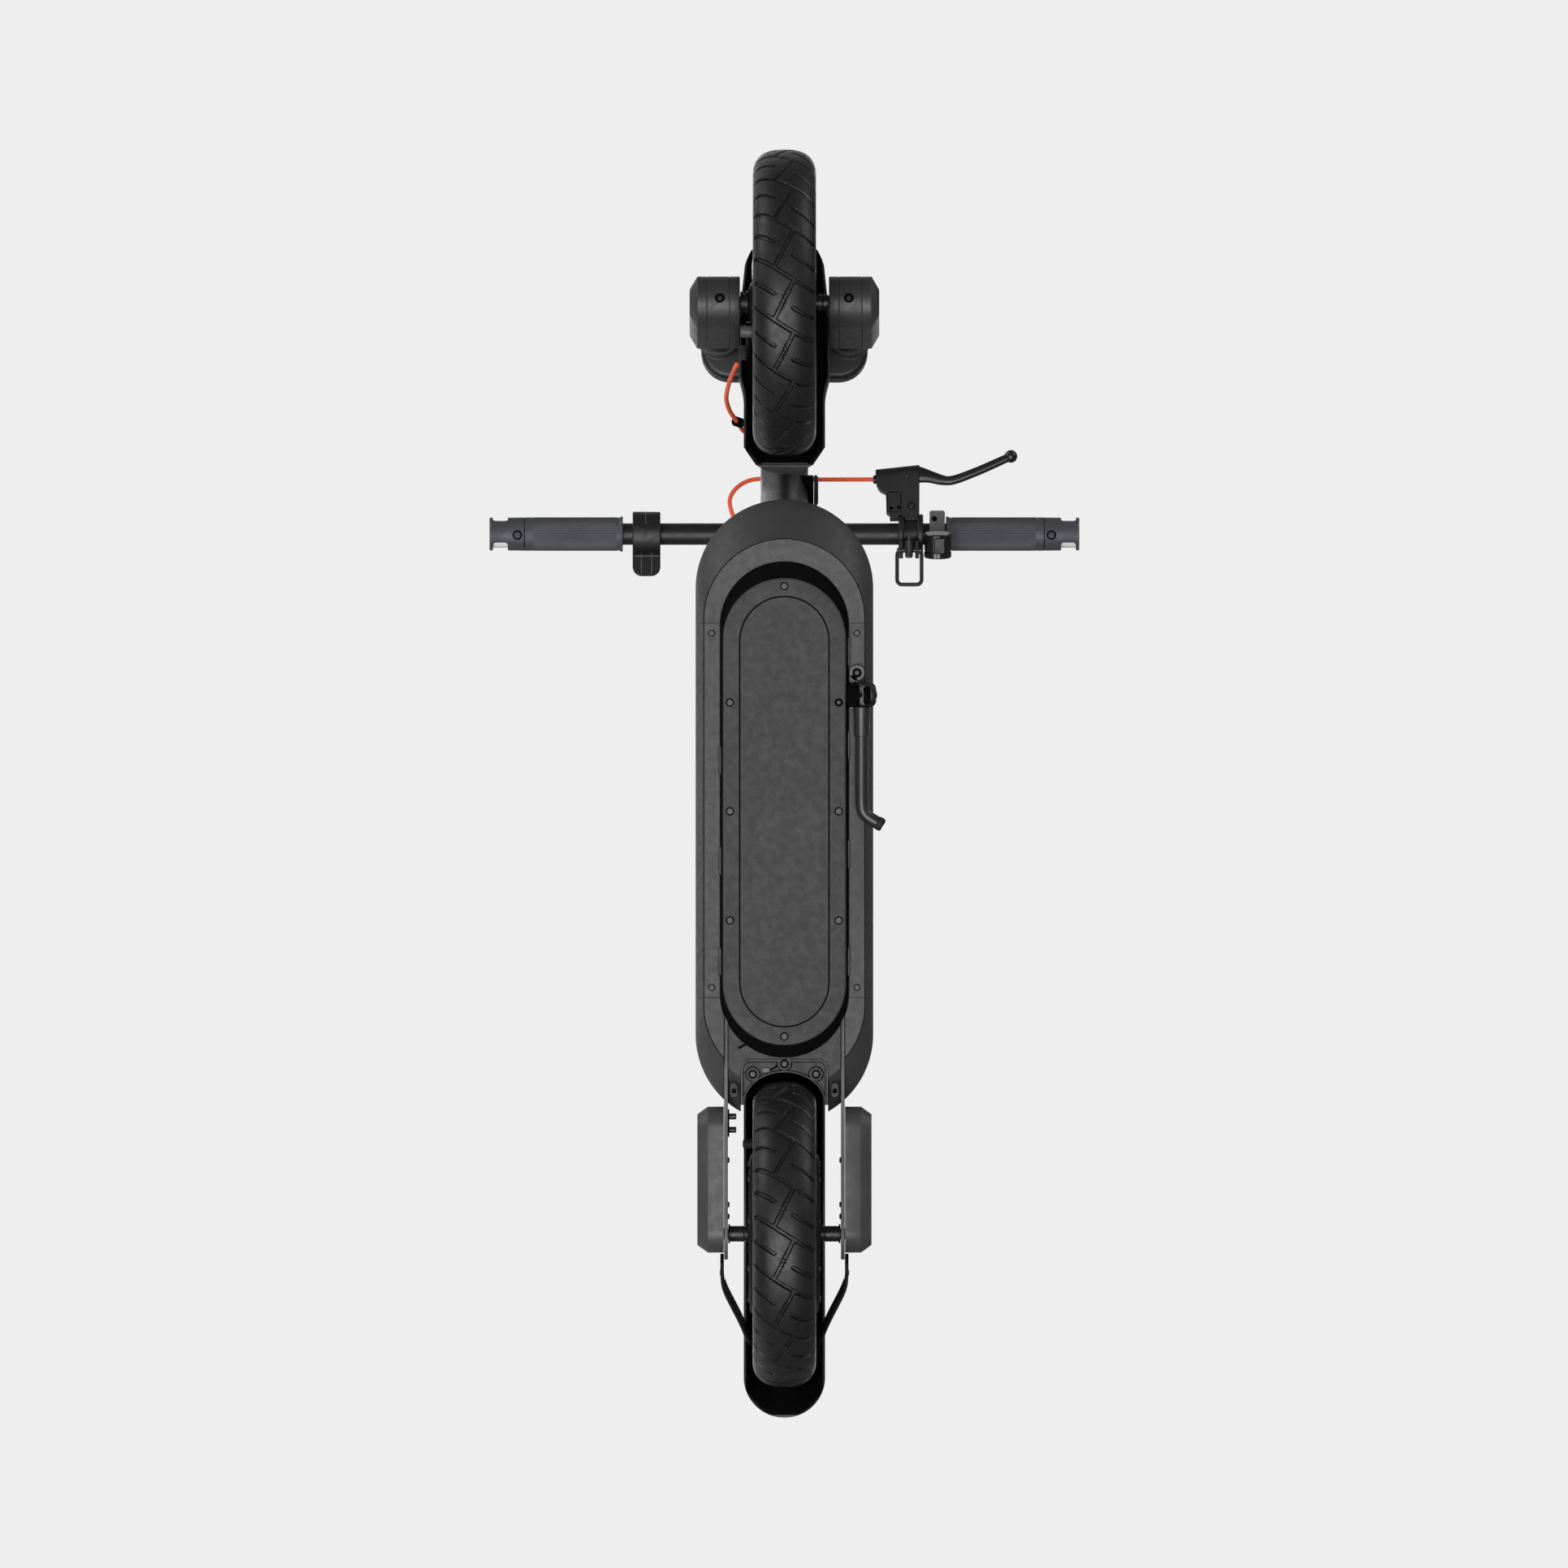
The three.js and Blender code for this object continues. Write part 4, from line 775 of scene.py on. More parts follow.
def head_tube():
    """The head tube with flared ends."""
    low, high = extent("head_tube", STEER)
    radius = high[1]
    half = [(radius - 2.2, 0), (radius - 2.2, 28), (radius, 33), (radius, 40.5), (radius - 0.8, 42), (17, 42),
            (17, 44), (16.5, 45)]
    middle = (low[2] + high[2]) / 2
    tube = ring(both_ways(half[:5]) + [(17, 42), (17, -42)], 96)
    add("head_tube_shell", upright(tube).moved(z=middle), "deck", "frame_paint", STEER, 0.3, ["head_tube"])


def charge_port():
    low, high = extent("charge_port")
    x, z = (low[0] + high[0]) / 2, (low[2] + high[2]) / 2
    radius = (high[0] - low[0]) / 2
    boss = lathe([(radius - 1.5, 12), (radius, 14), (radius, high[1] - 0.8), (radius - 0.8, high[1])], 64)
    add("charge_socket", boss.moved(x, 0, z), "deck", "near_black_and_painted_shade", stands_for=["charge_port"])
    cap_low, cap_high = extent("charge_port_cap")
    inner, outer = cap_low[1], cap_high[1]
    cap = lathe([(radius - 0.4, inner), (radius, inner + 0.6), (radius, outer - 1.4), (radius - 1.2, outer - 0.4),
                 (radius - 3.2, outer), (radius - 3.6, outer - 0.6), (radius - 6.0, outer - 0.6),
                 (radius - 6.4, outer - 0.1), (4.0, outer - 0.1)], 64).moved(x, 0, z)
    hinge_z = joint_at("charge_cap_hinge").z
    strap = front_loft([(rounded(inner + 0.2, outer - 0.6, z + radius - 2, hinge_z + 1.9, 0.9, 4), x - 5),
                        (rounded(inner + 0.2, outer - 0.6, z + radius - 2, hinge_z + 1.9, 0.9, 4), x + 5)])
    lip = side_loft([(rounded(x - 4, x + 4, z - radius - 2.2, z - radius + 3, 1.8, 4), inner + 0.6),
                     (rounded(x - 4, x + 4, z - radius - 2.2, z - radius + 3, 1.8, 4), inner + 2.4)])
    add("charge_cap_rubber", cap + strap + lip, "charge_cap", "soft_rubber", stands_for=["charge_port_cap"])


# ---------------------------------------------------------------- wheels

TYRE_R = extent("rear_tyre", REAR_HUB)[1][2]
TYRE_HALF = 29.25
BEAD_R = 95.0
TREAD_PERIODS = 18
TREAD_SLOPE = 0.63
GROOVE_HALF = 1.7
GROOVE_DEPTH = 2.6


def tyre_section():
    """Outside of the tyre from bead to bead as (y, radius) points with their outward normals."""
    widest = 117.0
    turn = np.radians(np.linspace(-90, 90, 121))
    y = TYRE_HALF * np.sign(np.sin(turn)) * np.abs(np.sin(turn)) ** (2 / 2.6)
    r = widest + (TYRE_R - widest) * np.abs(np.cos(turn)) ** (2 / 2.4)
    lower = np.radians(np.linspace(90, 0, 10, endpoint=False))
    wall_y = 18.8 + (TYRE_HALF - 18.8) * np.cos(lower)
    wall_r = widest - (widest - BEAD_R) * np.sin(lower)
    line = np.vstack([np.column_stack([-wall_y, wall_r]), np.column_stack([y, r]),
                      np.column_stack([wall_y[::-1], wall_r[::-1]])])
    along = np.gradient(line, axis=0)
    normal = np.column_stack([-along[:, 1], along[:, 0]])
    return line, normal / np.linalg.norm(normal, axis=1, keepdims=True)


def bar_distance(s, y, start, end):
    """Distance in the tread's plan from points (s, y) to a straight groove between two points."""
    start, end = np.array(start), np.array(end)
    line = end - start
    t = ((s - start[0]) * line[0] + (y - start[1]) * line[1]) / line.dot(line)
    t = np.clip(t, 0, 1)
    return np.hypot(s - start[0] - t * line[0], y - start[1] - t * line[1])


def tread_depth(s, y, period):
    """How deep the grooves are at (s, y): long slanted ones, short ones between them, and reverse links."""
    edge, half = 26.6, period / 2
    grooves = [((-TREAD_SLOPE * edge, -edge), (TREAD_SLOPE * edge, edge)),
               ((half - TREAD_SLOPE * edge, -edge), (half - TREAD_SLOPE * 9.6, -9.6)),
               ((2 - half + TREAD_SLOPE * 8.4, 8.4), (2 - half + TREAD_SLOPE * edge, edge)),
               ((5.7, 9.1), (43.2, -9.6))]
    nearest = np.full(s.shape, 1e9)
    for start, end in grooves:
        for k in (-1, 0, 1, 2):
            shifted = [(start[0] + k * period, start[1]), (end[0] + k * period, end[1])]
            nearest = np.minimum(nearest, bar_distance(s, y, *shifted))
    wall = 0.3
    t = np.clip((GROOVE_HALF + wall - nearest) / (2 * wall), 0, 1)
    return GROOVE_DEPTH * t * t * (3 - 2 * t)


def tyre_shape():
    """A tyre round the y axis; angle 0 is at the bottom and grows rearwards."""
    line, normal = tyre_section()
    steps = TREAD_PERIODS * 84
    turn = np.linspace(0, 2 * math.pi, steps, endpoint=False)
    period = 2 * math.pi * TYRE_R / TREAD_PERIODS
    s, y = np.meshgrid(turn * TYRE_R % period, line[:, 0], indexing="ij")
    depth = tread_depth(s, y, period)
    ribs = 0.35 * (np.abs(line[:, 1] - 104) < 1.0) + 0.35 * (np.abs(line[:, 1] - 112) < 1.2)
    offset = ribs[None, :] - depth
    across = y + offset * normal[:, 0]
    radius = line[:, 1][None, :] + offset * normal[:, 1]
    inner = 89.5
    across = np.hstack([across, np.tile([18.8, -18.8], (steps, 1))])
    radius = np.hstack([radius, np.full((steps, 2), inner)])
    x = -radius * np.sin(turn)[:, None]
    z = -radius * np.cos(turn)[:, None]
    loops = np.stack([x, across, z], axis=2)
    return skin(list(loops), closed=True)


RIM_SEAT = [(89, 19.3), (95, 19.3), (95.2, 20.0), (94.8, 21.6), (93.6, 22), (90, 21.2), (86, 20.6), (83.5, 18.5)]


def spoke():
    levels = []
    for radius, width, depth in ((40, 30, 20), (48, 22, 15), (60, 15, 12), (72, 17, 13), (84, 27, 17)):
        outline = rounded(-width / 2, width / 2, -depth / 2, depth / 2, 3.5, 5)
        levels.append((outline, radius))
    return loft(levels)


def front_rim():
    seat = RIM_SEAT + [(80, 12.5), (79, 9)]
    wheel = ring([(r, -y) for r, y in reversed(seat)] + seat, 144)
    drum = ring([(6.6, -5), (42, -5), (42, -25.8), (46.2, -25.8), (47.5, -24.5), (47.5, 2), (46, 6), (40, 9),
                 (33, 11), (30, 15), (30, 24.5), (28.5, 26), (6.6, 26)], 96)
    fins = [ring([(47.2, y), (48.6, y + 0.5), (48.6, y + 1.5), (47.2, y + 2)], 96) for y in (-21, -16, -11)]
    spokes = [spoke().turned(60 * i, "Y") for i in range(6)]
    add("front_wheel_rim", total([wheel, drum] + fins), "front_wheel", "black_alloy", FRONT_HUB, 0.0,
        ["front_rim"])
    add("front_wheel_spokes", total(spokes), "front_wheel", "black_alloy", FRONT_HUB, 0.8)
    seal = ring([(8.0, 25.5), (13.5, 25.5), (13.5, 26.4), (12.5, 27.0), (9.0, 27.0), (8.0, 26.4)], 64)
    add("front_wheel_seal", seal, "front_wheel", "soft_rubber", FRONT_HUB)


def valve():
    """A bent valve's cap, which lies across the wheel at the rim."""
    profile = [(2.2, -22), (2.2, -28), (4.2, -28.6), (4.4, -29.6), (4.0, -30.2), (4.4, -30.8), (4.0, -31.6),
               (4.4, -32.4), (4.0, -33.2), (4.4, -34.0), (4.0, -34.8), (4.3, -35.6), (4.2, -37.2), (3.2, -38.3),
               (1.6, -38.6)]
    return lathe(profile, 32)


def motor():
    """The rear hub motor with stepped side covers, and the rims that hold the tyre."""
    face = extent("motor_shell", REAR_HUB)[1][1]
    half = [(10.5, face), (17, face), (18, face - 1.6), (30, face - 1.6), (31.5, face - 0.6), (58, face - 0.6),
            (59.5, face - 2), (70, face - 2), (72.5, face - 3), (74.4, face - 5), (75, face - 8), (75, 21),
            (78, 19)]
    half += list(reversed(RIM_SEAT))
    profile = list(reversed(half))
    shell = ring(both_ways(profile), 144)
    add("motor_casing", shell, "rear_wheel", "motor_paint", REAR_HUB, 0.0, ["motor_shell"])
    heads = []
    count, circle_r = 9, 64.8
    for i in range(count):
        turn = 2 * math.pi * i / count
        x, z = circle_r * math.cos(turn), circle_r * math.sin(turn)
        for side in SIDES.values():
            heads.append(outward(screw(2.8, 1.8), x, side * (face - 2), z, side))
    add("motor_cover_screws", total(heads), "rear_wheel", "dark_steel", REAR_HUB)
    reach = 83.0
    add("rear_valve", valve().moved(reach, 0, 0), "rear_wheel", "soft_rubber", REAR_HUB)


def rear_axle():
    half = [(5, 20), (7.3, 30), (7.3, 36.2), (6.6, 36.6), (6.6, 37.4), (7.3, 37.8), (7.3, 50.2), (9, 50.4),
            (9, PLATE_IN - 0.3), (5, PLATE_IN - 0.3), (5, PLATE_OUT + 0.3), (9.4, PLATE_OUT + 0.3), (9.4, 57.6),
            (5, 57.6), (5, 60), (4.2, 60.6)]
    add("rear_axle_shaft", lathe(both_ways(half), 48), "deck", "dark_steel", REAR_HUB, 0.2, ["rear_axle"])
    for name, side in SIDES.items():
        nut = outward(hex_nut(16, 2.0, 4.6), 0, 57.6, 0, 1).on(side)
        add(f"axle_nut_{name}", nut, "deck", "steel", REAR_HUB, 0.2)


def wheels():
    tyre = tyre_shape()
    add("front_tyre_rubber", tyre, "front_wheel", "tyre_rubber", FRONT_HUB, stands_for=["front_tyre"])
    add("rear_tyre_rubber", tyre, "rear_wheel", "tyre_rubber", REAR_HUB, stands_for=["rear_tyre"])
    front_rim()
    motor()
    rear_axle()


# ---------------------------------------------------------------- rear frame and fender


def rear_plates():
    low, high = extent("rear_plate_left")
    hub = REAR_HUB.translation
    radius = hub.x - low[0]
    end = [(hub.x + radius * math.cos(t), hub.z + radius * math.sin(t))
           for t in np.radians(np.linspace(90, 270, 40))]
    nose = [(high[0], 120.0), (high[0], 147.0), (-304.0, 147.0), (-312.0, 148.5), (-330.0, 162.0)]
    outline = np.array(nose + end + [(-300.0, low[2])])
    small = shrunk(outline, 0.5)
    levels = [(small, PLATE_IN), (outline, PLATE_IN + 0.5), (outline, PLATE_OUT - 0.5), (small, PLATE_OUT)]
    for name, side in SIDES.items():
        add(f"frame_plate_{name}", side_loft(levels).on(side), "deck", "plate_paint",
            stands_for=[f"rear_plate_{name}"])


def rear_covers():
    """Side covers over the plates: a round-edged box with a broad chamfer on its outer edge."""
    low, high = extent("rear_cover_left")
    chamfer_from, chamfer = 70.9, 7.2

    def outline(inset):
        corner = 20 - inset
        return rounded(low[0] + inset, high[0] - inset, low[2] + inset, high[2] - inset, corner, 14)

    levels = [(outline(2.5), PLATE_OUT + 3), (outline(2.5), PLATE_OUT + 0.3), (outline(0), PLATE_OUT + 0.3),
              (outline(0), chamfer_from - 0.4), (outline(0.3), chamfer_from + 0.3),
              (outline(chamfer - 0.5), high[1] - 0.5), (outline(chamfer), high[1])]
    for name, side in SIDES.items():
        add(f"side_cover_{name}", side_loft(levels).on(side), "deck", "side_cover_plastic",
            stands_for=[f"rear_cover_{name}"], sharp=30)


def plate_fasteners():
    """Two long bolts on the right plate's inner face, and the small screws through both plates."""
    bolts = []
    for x in (-307.6, -319.9):
        head = lathe([(2.8, -PLATE_IN), (2.8, -44.9), (2.4, -44.4)], 32).moved(x, 0, 138)
        bolts.append(head)
    washer = side_loft([(rounded(-326.5, -301.0, 133, 143, 4.9, 6), -PLATE_IN),
                        (rounded(-326.5, -301.0, 133, 143, 4.9, 6), -PLATE_IN + 1.3)])
    add("cable_clamp_bolts", total(bolts), "deck", "dark_steel", bevel=0.2)
    add("cable_clamp_washer", washer, "deck", "near_black_and_painted_shade", bevel=0.2)
    dots = []
    for x, z in ((-348.0, 136.0), (-389.0, 129.0), (-400.0, 158.0)):
        for side in SIDES.values():
            dots.append(outward(screw(2.6, 1.5), x, side * PLATE_IN, z, -side))
    add("cover_screws", total(dots), "deck", "dark_steel")


BRACKET_SCREWS = [(-259.0, 0.0), (-268.5, -29.25), (-268.5, 29.25)]


WHEEL_ARCH = (30.2, 37.3)  # the bracket's wheel space: half its length and half its width


def wheel_arch(grow, count=120):
    """The bracket's half-oval wheel space, its middle on the bracket's rear end."""
    turn = np.linspace(0, 2 * math.pi, count, endpoint=False)
    middle = extent("rear_bracket")[0][0]
    return np.column_stack([middle + (WHEEL_ARCH[0] + grow) * np.cos(turn), (WHEEL_ARCH[1] + grow) * np.sin(turn)])


def rear_bracket():
    """The moulded bracket ahead of the wheel: a plate with a raised rim, ribs and screw bosses."""
    low, high = extent("rear_bracket")
    rear, face, floor = low[0], low[2], low[2] + 2.2
    space = rounded(rear - 20, high[0], low[1], high[1], 9, 10)
    outline = shrunk(space, 0.8)
    wheel_space = plate(wheel_arch(0), 90, 140)
    behind = plate(rounded(rear - 40, rear, -60, 60, 0.5, 2), 90, 140)
    cuts = [wheel_space, behind]
    pocket = carved(plate(shrunk(outline, 1.5), 90, floor), plate(wheel_arch(1.5), face + 0.1, high[2]))
    bosses = [plate(circle(6.4, 48, x, y), face, high[2] - 1, 0.4) for x, y in BRACKET_SCREWS]
    ribs = [block(x - 0.5, x + 0.5, y - 9.6, y + 9.6, face + 0.9, floor + 1, 0.2) for x, y in BRACKET_SCREWS[1:]]
    ribs += [block(x - 9.6, x + 9.6, y - 0.5, y + 0.5, face + 0.9, floor + 1, 0.2) for x, y in BRACKET_SCREWS]
    whole = combined(carved(plate(outline, face, high[2], 0.5), pocket), bosses + ribs, "UNION")
    holes = [plate(circle(4.1, 40, x, y), 90, face + 2.0) for x, y in BRACKET_SCREWS]
    inside = plate(shrunk(outline, 0.1), 90, 150)
    # The bracket takes the darker copy of the hull plastic: painted shade.
    add("bracket", carved(shared(whole, inside), *cuts, *holes), "deck", "recess_painted_shade",
        stands_for=["rear_bracket"], sharp=30)
    # Dark strips in the gap at the outer edge, inside the rim, round the wheel space and round the screws, and dark
    # discs in the screw holes: painted shade.
    lines = [plan_band(space, outline, face + 1.6, high[2]),
             plan_band(shrunk(outline, 1.4), shrunk(outline, 2.2), floor - 0.3, floor + 0.3),
             plan_band(wheel_arch(2.2), wheel_arch(1.4), floor - 0.3, floor + 0.3)]
    lines = [carved(line, *cuts) for line in lines]
    for x, y in BRACKET_SCREWS:
        ring_line = plan_band(circle(7.2, 48, x, y), circle(6.3, 48, x, y), floor - 0.3, floor + 0.3)
        lines.append(shared(carved(ring_line, *cuts), plate(shrunk(outline, 1.0), 90, 150)))
        lines.append(plate(circle(4.05, 40, x, y), face + 1.2, face + 2.1))
    add("bracket_painted_shade_lines", total(lines), "deck", "near_black_and_painted_shade")
    heads = [under(screw(2.6, 1.2), x, y, face + 1.3) for x, y in BRACKET_SCREWS]
    add("bracket_screws", total(heads), "deck", "plate_paint")
    plug = block(-267.0, -262.5, -20.5, -13.5, face - 0.2, floor, 0.5)
    add("bracket_plug", plug, "deck", "plate_paint")
    wire = rod([(-265, -13.6, floor - 1.0), (-262.5, -9, floor - 1.0), (-260.5, -6, floor - 0.8)], 0.8, sides=12)
    add("bracket_wire", wire, "deck", "near_black_and_painted_shade")


def bracket_lugs():
    """Square-holed lugs either side of the bracket, and a slanted slot ahead of it; the holes' dark plates and the
    slot's flat dark capsule are painted shade.
    """
    top = DECK_BOTTOM + 3
    lugs, hole_shade_plates = [], []
    for side in SIDES.values():
        lug = plate(rounded(-290, -276.4, 43.1, 50.2, 3.4, 6), DECK_BOTTOM + 1.6, top + 0.4, 0.5)
        hole = plate(rounded(-286.1, -281.9, 44.5, 48.7, 0.5, 3), 100, top - 0.4)
        boss = plate(circle(2.2, 24, -278.6, 46.6), DECK_BOTTOM + 1.0, top, 0.4)
        lugs.append((carved(lug, hole) + boss).on(side))
        hole_shade_plates.append(plate(rounded(-286.1, -281.9, 44.5, 48.7, 0.5, 3), top - 0.8, top - 0.2).on(side))
    # The lugs take the darker copy of the hull plastic: painted shade.
    add("bracket_lugs", total(lugs), "deck", "recess_painted_shade")
    slot = plate(rounded(-7, 7, -1.1, 1.1, 1.05, 5), top - 0.3, top + 0.3).turned(62, "Z").moved(-241.5, -36.8)
    add("bracket_lug_and_slot_shade", total(hole_shade_plates) + slot, "deck", "near_black_and_painted_shade")


def channel_section(radius, half_width, depth, wall, shoulder=9.0):
    """The fender's section as a closed ring of (radius, y) points, with rolled lips on its side walls."""
    outer = [(radius - depth, half_width - 0.3), (radius - depth + 0.4, half_width), (radius - shoulder, half_width)]
    for turn in np.radians(np.linspace(0, 90, 9)[1:]):
        outer.append((radius - shoulder + shoulder * math.sin(turn), half_width - shoulder * (1 - math.cos(turn))))
    inner_shoulder = shoulder - wall
    inner = []
    for turn in np.radians(np.linspace(90, 0, 9)):
        inner.append((radius - shoulder + inner_shoulder * math.sin(turn),
                      half_width - shoulder + inner_shoulder * math.cos(turn)))
    inner += [(radius - depth + 0.4, half_width - wall), (radius - depth, half_width - wall + 0.3)]
    across = [(r, -y) for r, y in reversed(outer)]
    back = [(r, -y) for r, y in reversed(inner)]
    return outer + across + back + inner


def arched(section, start, end, steps=120):
    """A section of (radius, y) points turned round the y axis between two angles above +x, in degrees."""
    points = np.array(section)
    loops = []
    for turn in np.radians(np.linspace(start, end, steps)):
        x, z = points[:, 0] * math.cos(turn), points[:, 0] * math.sin(turn)
        loops.append(np.column_stack([x, points[:, 1], z]))
    return skin(loops)


def rear_fender():
    low, high = extent("rear_fender")
    centre_x, centre_z, radius = low[0] + 162, high[2] - 162, 162
    half = high[1]
    section = channel_section(radius, half, 24, 2.2)
    arch = arched(section, -0.5, 184, 150).moved(centre_x, 0, centre_z)
    tail = plate(rounded(low[0], -200, -half - 0.1, half + 0.1, half, 24), 0, 400)
    add("fender_rear", shared(arch, tail), "deck", "fender_plastic", stands_for=["rear_fender"], sharp=30)
    # A black skin inside the channel: painted shade where the wheel and plates keep light out.
    dark_shade_skin = arched(channel_section(radius - 2.25, half - 2.25, 21.0, 1.4), -0.5, 182.6, 150)
    dark_shade_skin = dark_shade_skin.moved(centre_x, 0, centre_z)
    inside = plate(rounded(low[0] + 2.3, -200, -half + 2.2, half - 2.2, half - 2.3, 24), 0, 400)
    add("fender_rear_painted_shade", shared(dark_shade_skin, inside), "deck", "near_black_and_painted_shade", sharp=30)
    stay_bolts = []
    for side in SIDES.values():
        stay_bolts.append(outward(screw(3.2, 2.2), -452, side * 57.6, 161, side))
    add("stay_bolts", total(stay_bolts), "deck", "dark_steel")


def fender_stay():
    """One flat strip from plate to plate that climbs behind the wheel and crosses inside the fender."""
    climb = math.degrees(math.atan2(121, 97))
    thickness, half_height = 3.4, 6.0
    side = [(8, 57.6), (20, 57.6), (32, 57.4), (42, 56.6), (51, 54.9), (60, 52.4), (72, 48.6), (88, 43.4),
            (104, 38.6), (119, 34.4), (132, 27), (142, 17), (146, 7)]
    line = smooth_path([(s, y, 0) for s, y in side] + [(s, -y, 0) for s, y in reversed(side)], 5)
    section = rounded(-thickness / 2, thickness / 2, -half_height, half_height, 0.8, 3)
    strip = sweep(line, section).turned(180, "Z").turned(climb, "Y")
    start = REAR_HUB.translation + Vector((-18, 0, 0))
    add("stay", strip.moved(*start), "deck", "black_paint", stands_for=["fender_stay"])


def tail_light():
    low, high = extent("tail_light")
    middle = (Vector(low) + Vector(high)) / 2
    fender_low, fender_high = extent("rear_fender")
    centre = Vector((fender_low[0] + 162, 0, fender_high[2] - 162))
    out = middle - centre
    lean = math.degrees(math.atan2(out.x, out.z))
    base_r, half = 163.2, high[1]
    bezel = loft([(rounded(-9, 9, -half, half, 6, 8), base_r - 1.5), (rounded(-9, 9, -half, half, 6, 8), base_r + 2.4),
                  (rounded(-8, 8, -half + 1, half - 1, 5, 8), base_r + 3.4)])
    lens = loft([(rounded(-7.2, 7.2, -half + 2, half - 2, 4.5, 8), base_r + 2),
                 (rounded(-7.2, 7.2, -half + 2, half - 2, 4.5, 8), base_r + 4.8),
                 (rounded(-5.6, 5.6, -half + 4, half - 4, 3.6, 8), base_r + 6.6)])
    ribs = [block(-6.4, 6.4, y - 0.35, y + 0.35, base_r + 5, base_r + 6.7, 0.15) for y in np.arange(-15, 15.1, 3)]
    put = {"x": centre.x, "z": centre.z}
    add("tail_light_bezel", bezel.turned(lean, "Y").moved(**put), "deck", "gloss_plastic", bevel=0.3)
    add("tail_light_lens", (lens + total(ribs)).turned(lean, "Y").moved(**put), "deck", "red_lens",
        stands_for=["tail_light"], sharp=30)


# ---------------------------------------------------------------- kickstand


BUMPER = {"x0": -11.6, "x1": 11.6, "y0": -3.9, "y1": 13.3, "corner": 6.2}  # about the kickstand's pivot
BUMPER_REACH = 12.6  # its farthest from the pivot's line
BUMPER_START = -5.2  # where it starts along the pivot's line, outwards from the pivot


def bumper_sweep(gap):
    """The round space that the bumper turns in, wider by a gap."""
    profile = [(BUMPER_REACH + gap, BUMPER_START - gap), (BUMPER_REACH + gap, 14.0 + gap)]
    return in_ground_space(lathe(profile, 96), STAND)


def kickstand():
    path = [(-30, 0, 0), (-60, 0, 0), (-92, 0, 0), (-104, 0.6, 0), (-110, 3, -0.6), (-114.5, 8, -2.4),
            (-121, 18, -8)]
    leg = rod(path, 5.9, 8, 40)
    turn = circle(7.3, 40)
    sleeve = front_loft([(turn * 0.9, -38.4), (turn * 0.97, -38), (turn, -20), (turn * 1.1, -11.8), (turn, -11.2)])
    knuckle = lathe([(7.4, -5), (8, -4.4), (8, 4.4), (7.4, 5)], 56)
    web = block(-13, -4, -4.6, 4.6, -6, 6, 0.8)
    add("stand_leg", leg, "kickstand", "stand_paint", STAND, stands_for=["kickstand_leg"])
    add("stand_sleeve", sleeve, "kickstand", "stand_paint", STAND)
    add("stand_knuckle", knuckle + web, "kickstand", "near_black_and_painted_shade", STAND)
    foot = path[-1]
    heading = (Vector(path[-1]) - Vector(path[-2])).normalized()
    cap = rod([Vector(foot) - heading * 7, Vector(foot) - heading * 3, Vector(foot)], 6.3, 4, 40)
    add("stand_foot_cap", cap, "kickstand", "soft_rubber", STAND)
    outline = rounded(BUMPER["x0"], BUMPER["x1"], BUMPER["y0"], BUMPER["y1"], BUMPER["corner"], 10)
    levels = [(shrunk(outline, 3.0), -8.6), (shrunk(outline, 1.4), -8.3), (shrunk(outline, 0.4), -7.3),
              (outline, -5.8), (outline, -0.5), (shrunk(outline, 0.7), 0.2)]
    hole = plate(rounded(-8.8, 8.2, 1.6, 8.2, 2.6, 8), -12, -4)
    put = dict(zip("xyz", joint_at("kickstand_pivot")))
    bumper = shared(loft(levels).moved(**put), bumper_sweep(0))
    add("stand_bumper", carved(bumper, hole.moved(**put)), "kickstand", "bumper_rubber",
        stands_for=["kickstand_bumper"], sharp=50)
    # A dark plate inside the bumper's hole: painted shade.
    dark = plate(rounded(-9.0, 8.4, 1.4, 8.4, 2.7, 8), -4.4, -3.8).moved(**put)
    add("stand_bumper_hole_shade", dark, "kickstand", "near_black_and_painted_shade")


def kickstand_bracket():
    pivot = joint_at("kickstand_pivot")
    low, high = extent("kickstand_bracket")
    bolt_x, bolt_y = 102.4, 67.1
    top = high[2]
    tongue = plate(rounded(bolt_x - 7.4, bolt_x + 7.4, bolt_y - 7.3, bolt_y + 7.3, 7.2, 10), low_plate(top), top, 0.4)
    arm = plate(rounded(low[0], bolt_x - 2, bolt_y - 7.3, bolt_y + 0.4, 2, 4), low_plate(top), top, 0.4)
    room = bumper_sweep(0.35)
    add("stand_bracket", carved(tongue, room) + carved(arm, room), "deck", "stand_paint",
        stands_for=["kickstand_bracket"])
    hinge = block(pivot.x - 11.3, pivot.x + 11.5, 59.7, 67.2, pivot.z - 4.2, top - 0.5, 0.7)
    add("stand_hinge_block", carved(hinge, room), "deck", "near_black_and_painted_shade")
    lug = lathe([(7.4, -12), (8, -11.4), (8, -6), (7.4, -5.4)], 56) + block(-7.6, 7.6, -11.8, -5.6, 0, 8, 0.6)
    pin = lathe([(3.2, -6), (3.2, 12.2), (2.6, 12.8)], 32)
    head = outward(screw(4.6, 2.0), 0, 12.2, 0, 1)
    add("stand_lug", lug, "deck", "near_black_and_painted_shade", STAND)
    add("stand_pivot_pin", pin + head, "deck", "dark_steel", STAND)
    washer = plate(circle(4.3, 40, bolt_x, bolt_y), low_plate(top) - 0.4, low_plate(top) + 0.4)
    add("stand_bolt_washer", washer, "deck", "near_black_and_painted_shade")
    add("stand_bolt", under(screw(2.1, 1.2), bolt_x, bolt_y, low_plate(top) - 0.4), "deck", "plate_paint")


def low_plate(top):
    return top - 3.4


# ---------------------------------------------------------------- fork

LEG_Y = 59.6
FORK_OFFSET = 19.4
POD_CENTRES = (140.4, 236.4)
POD_R = 24.2


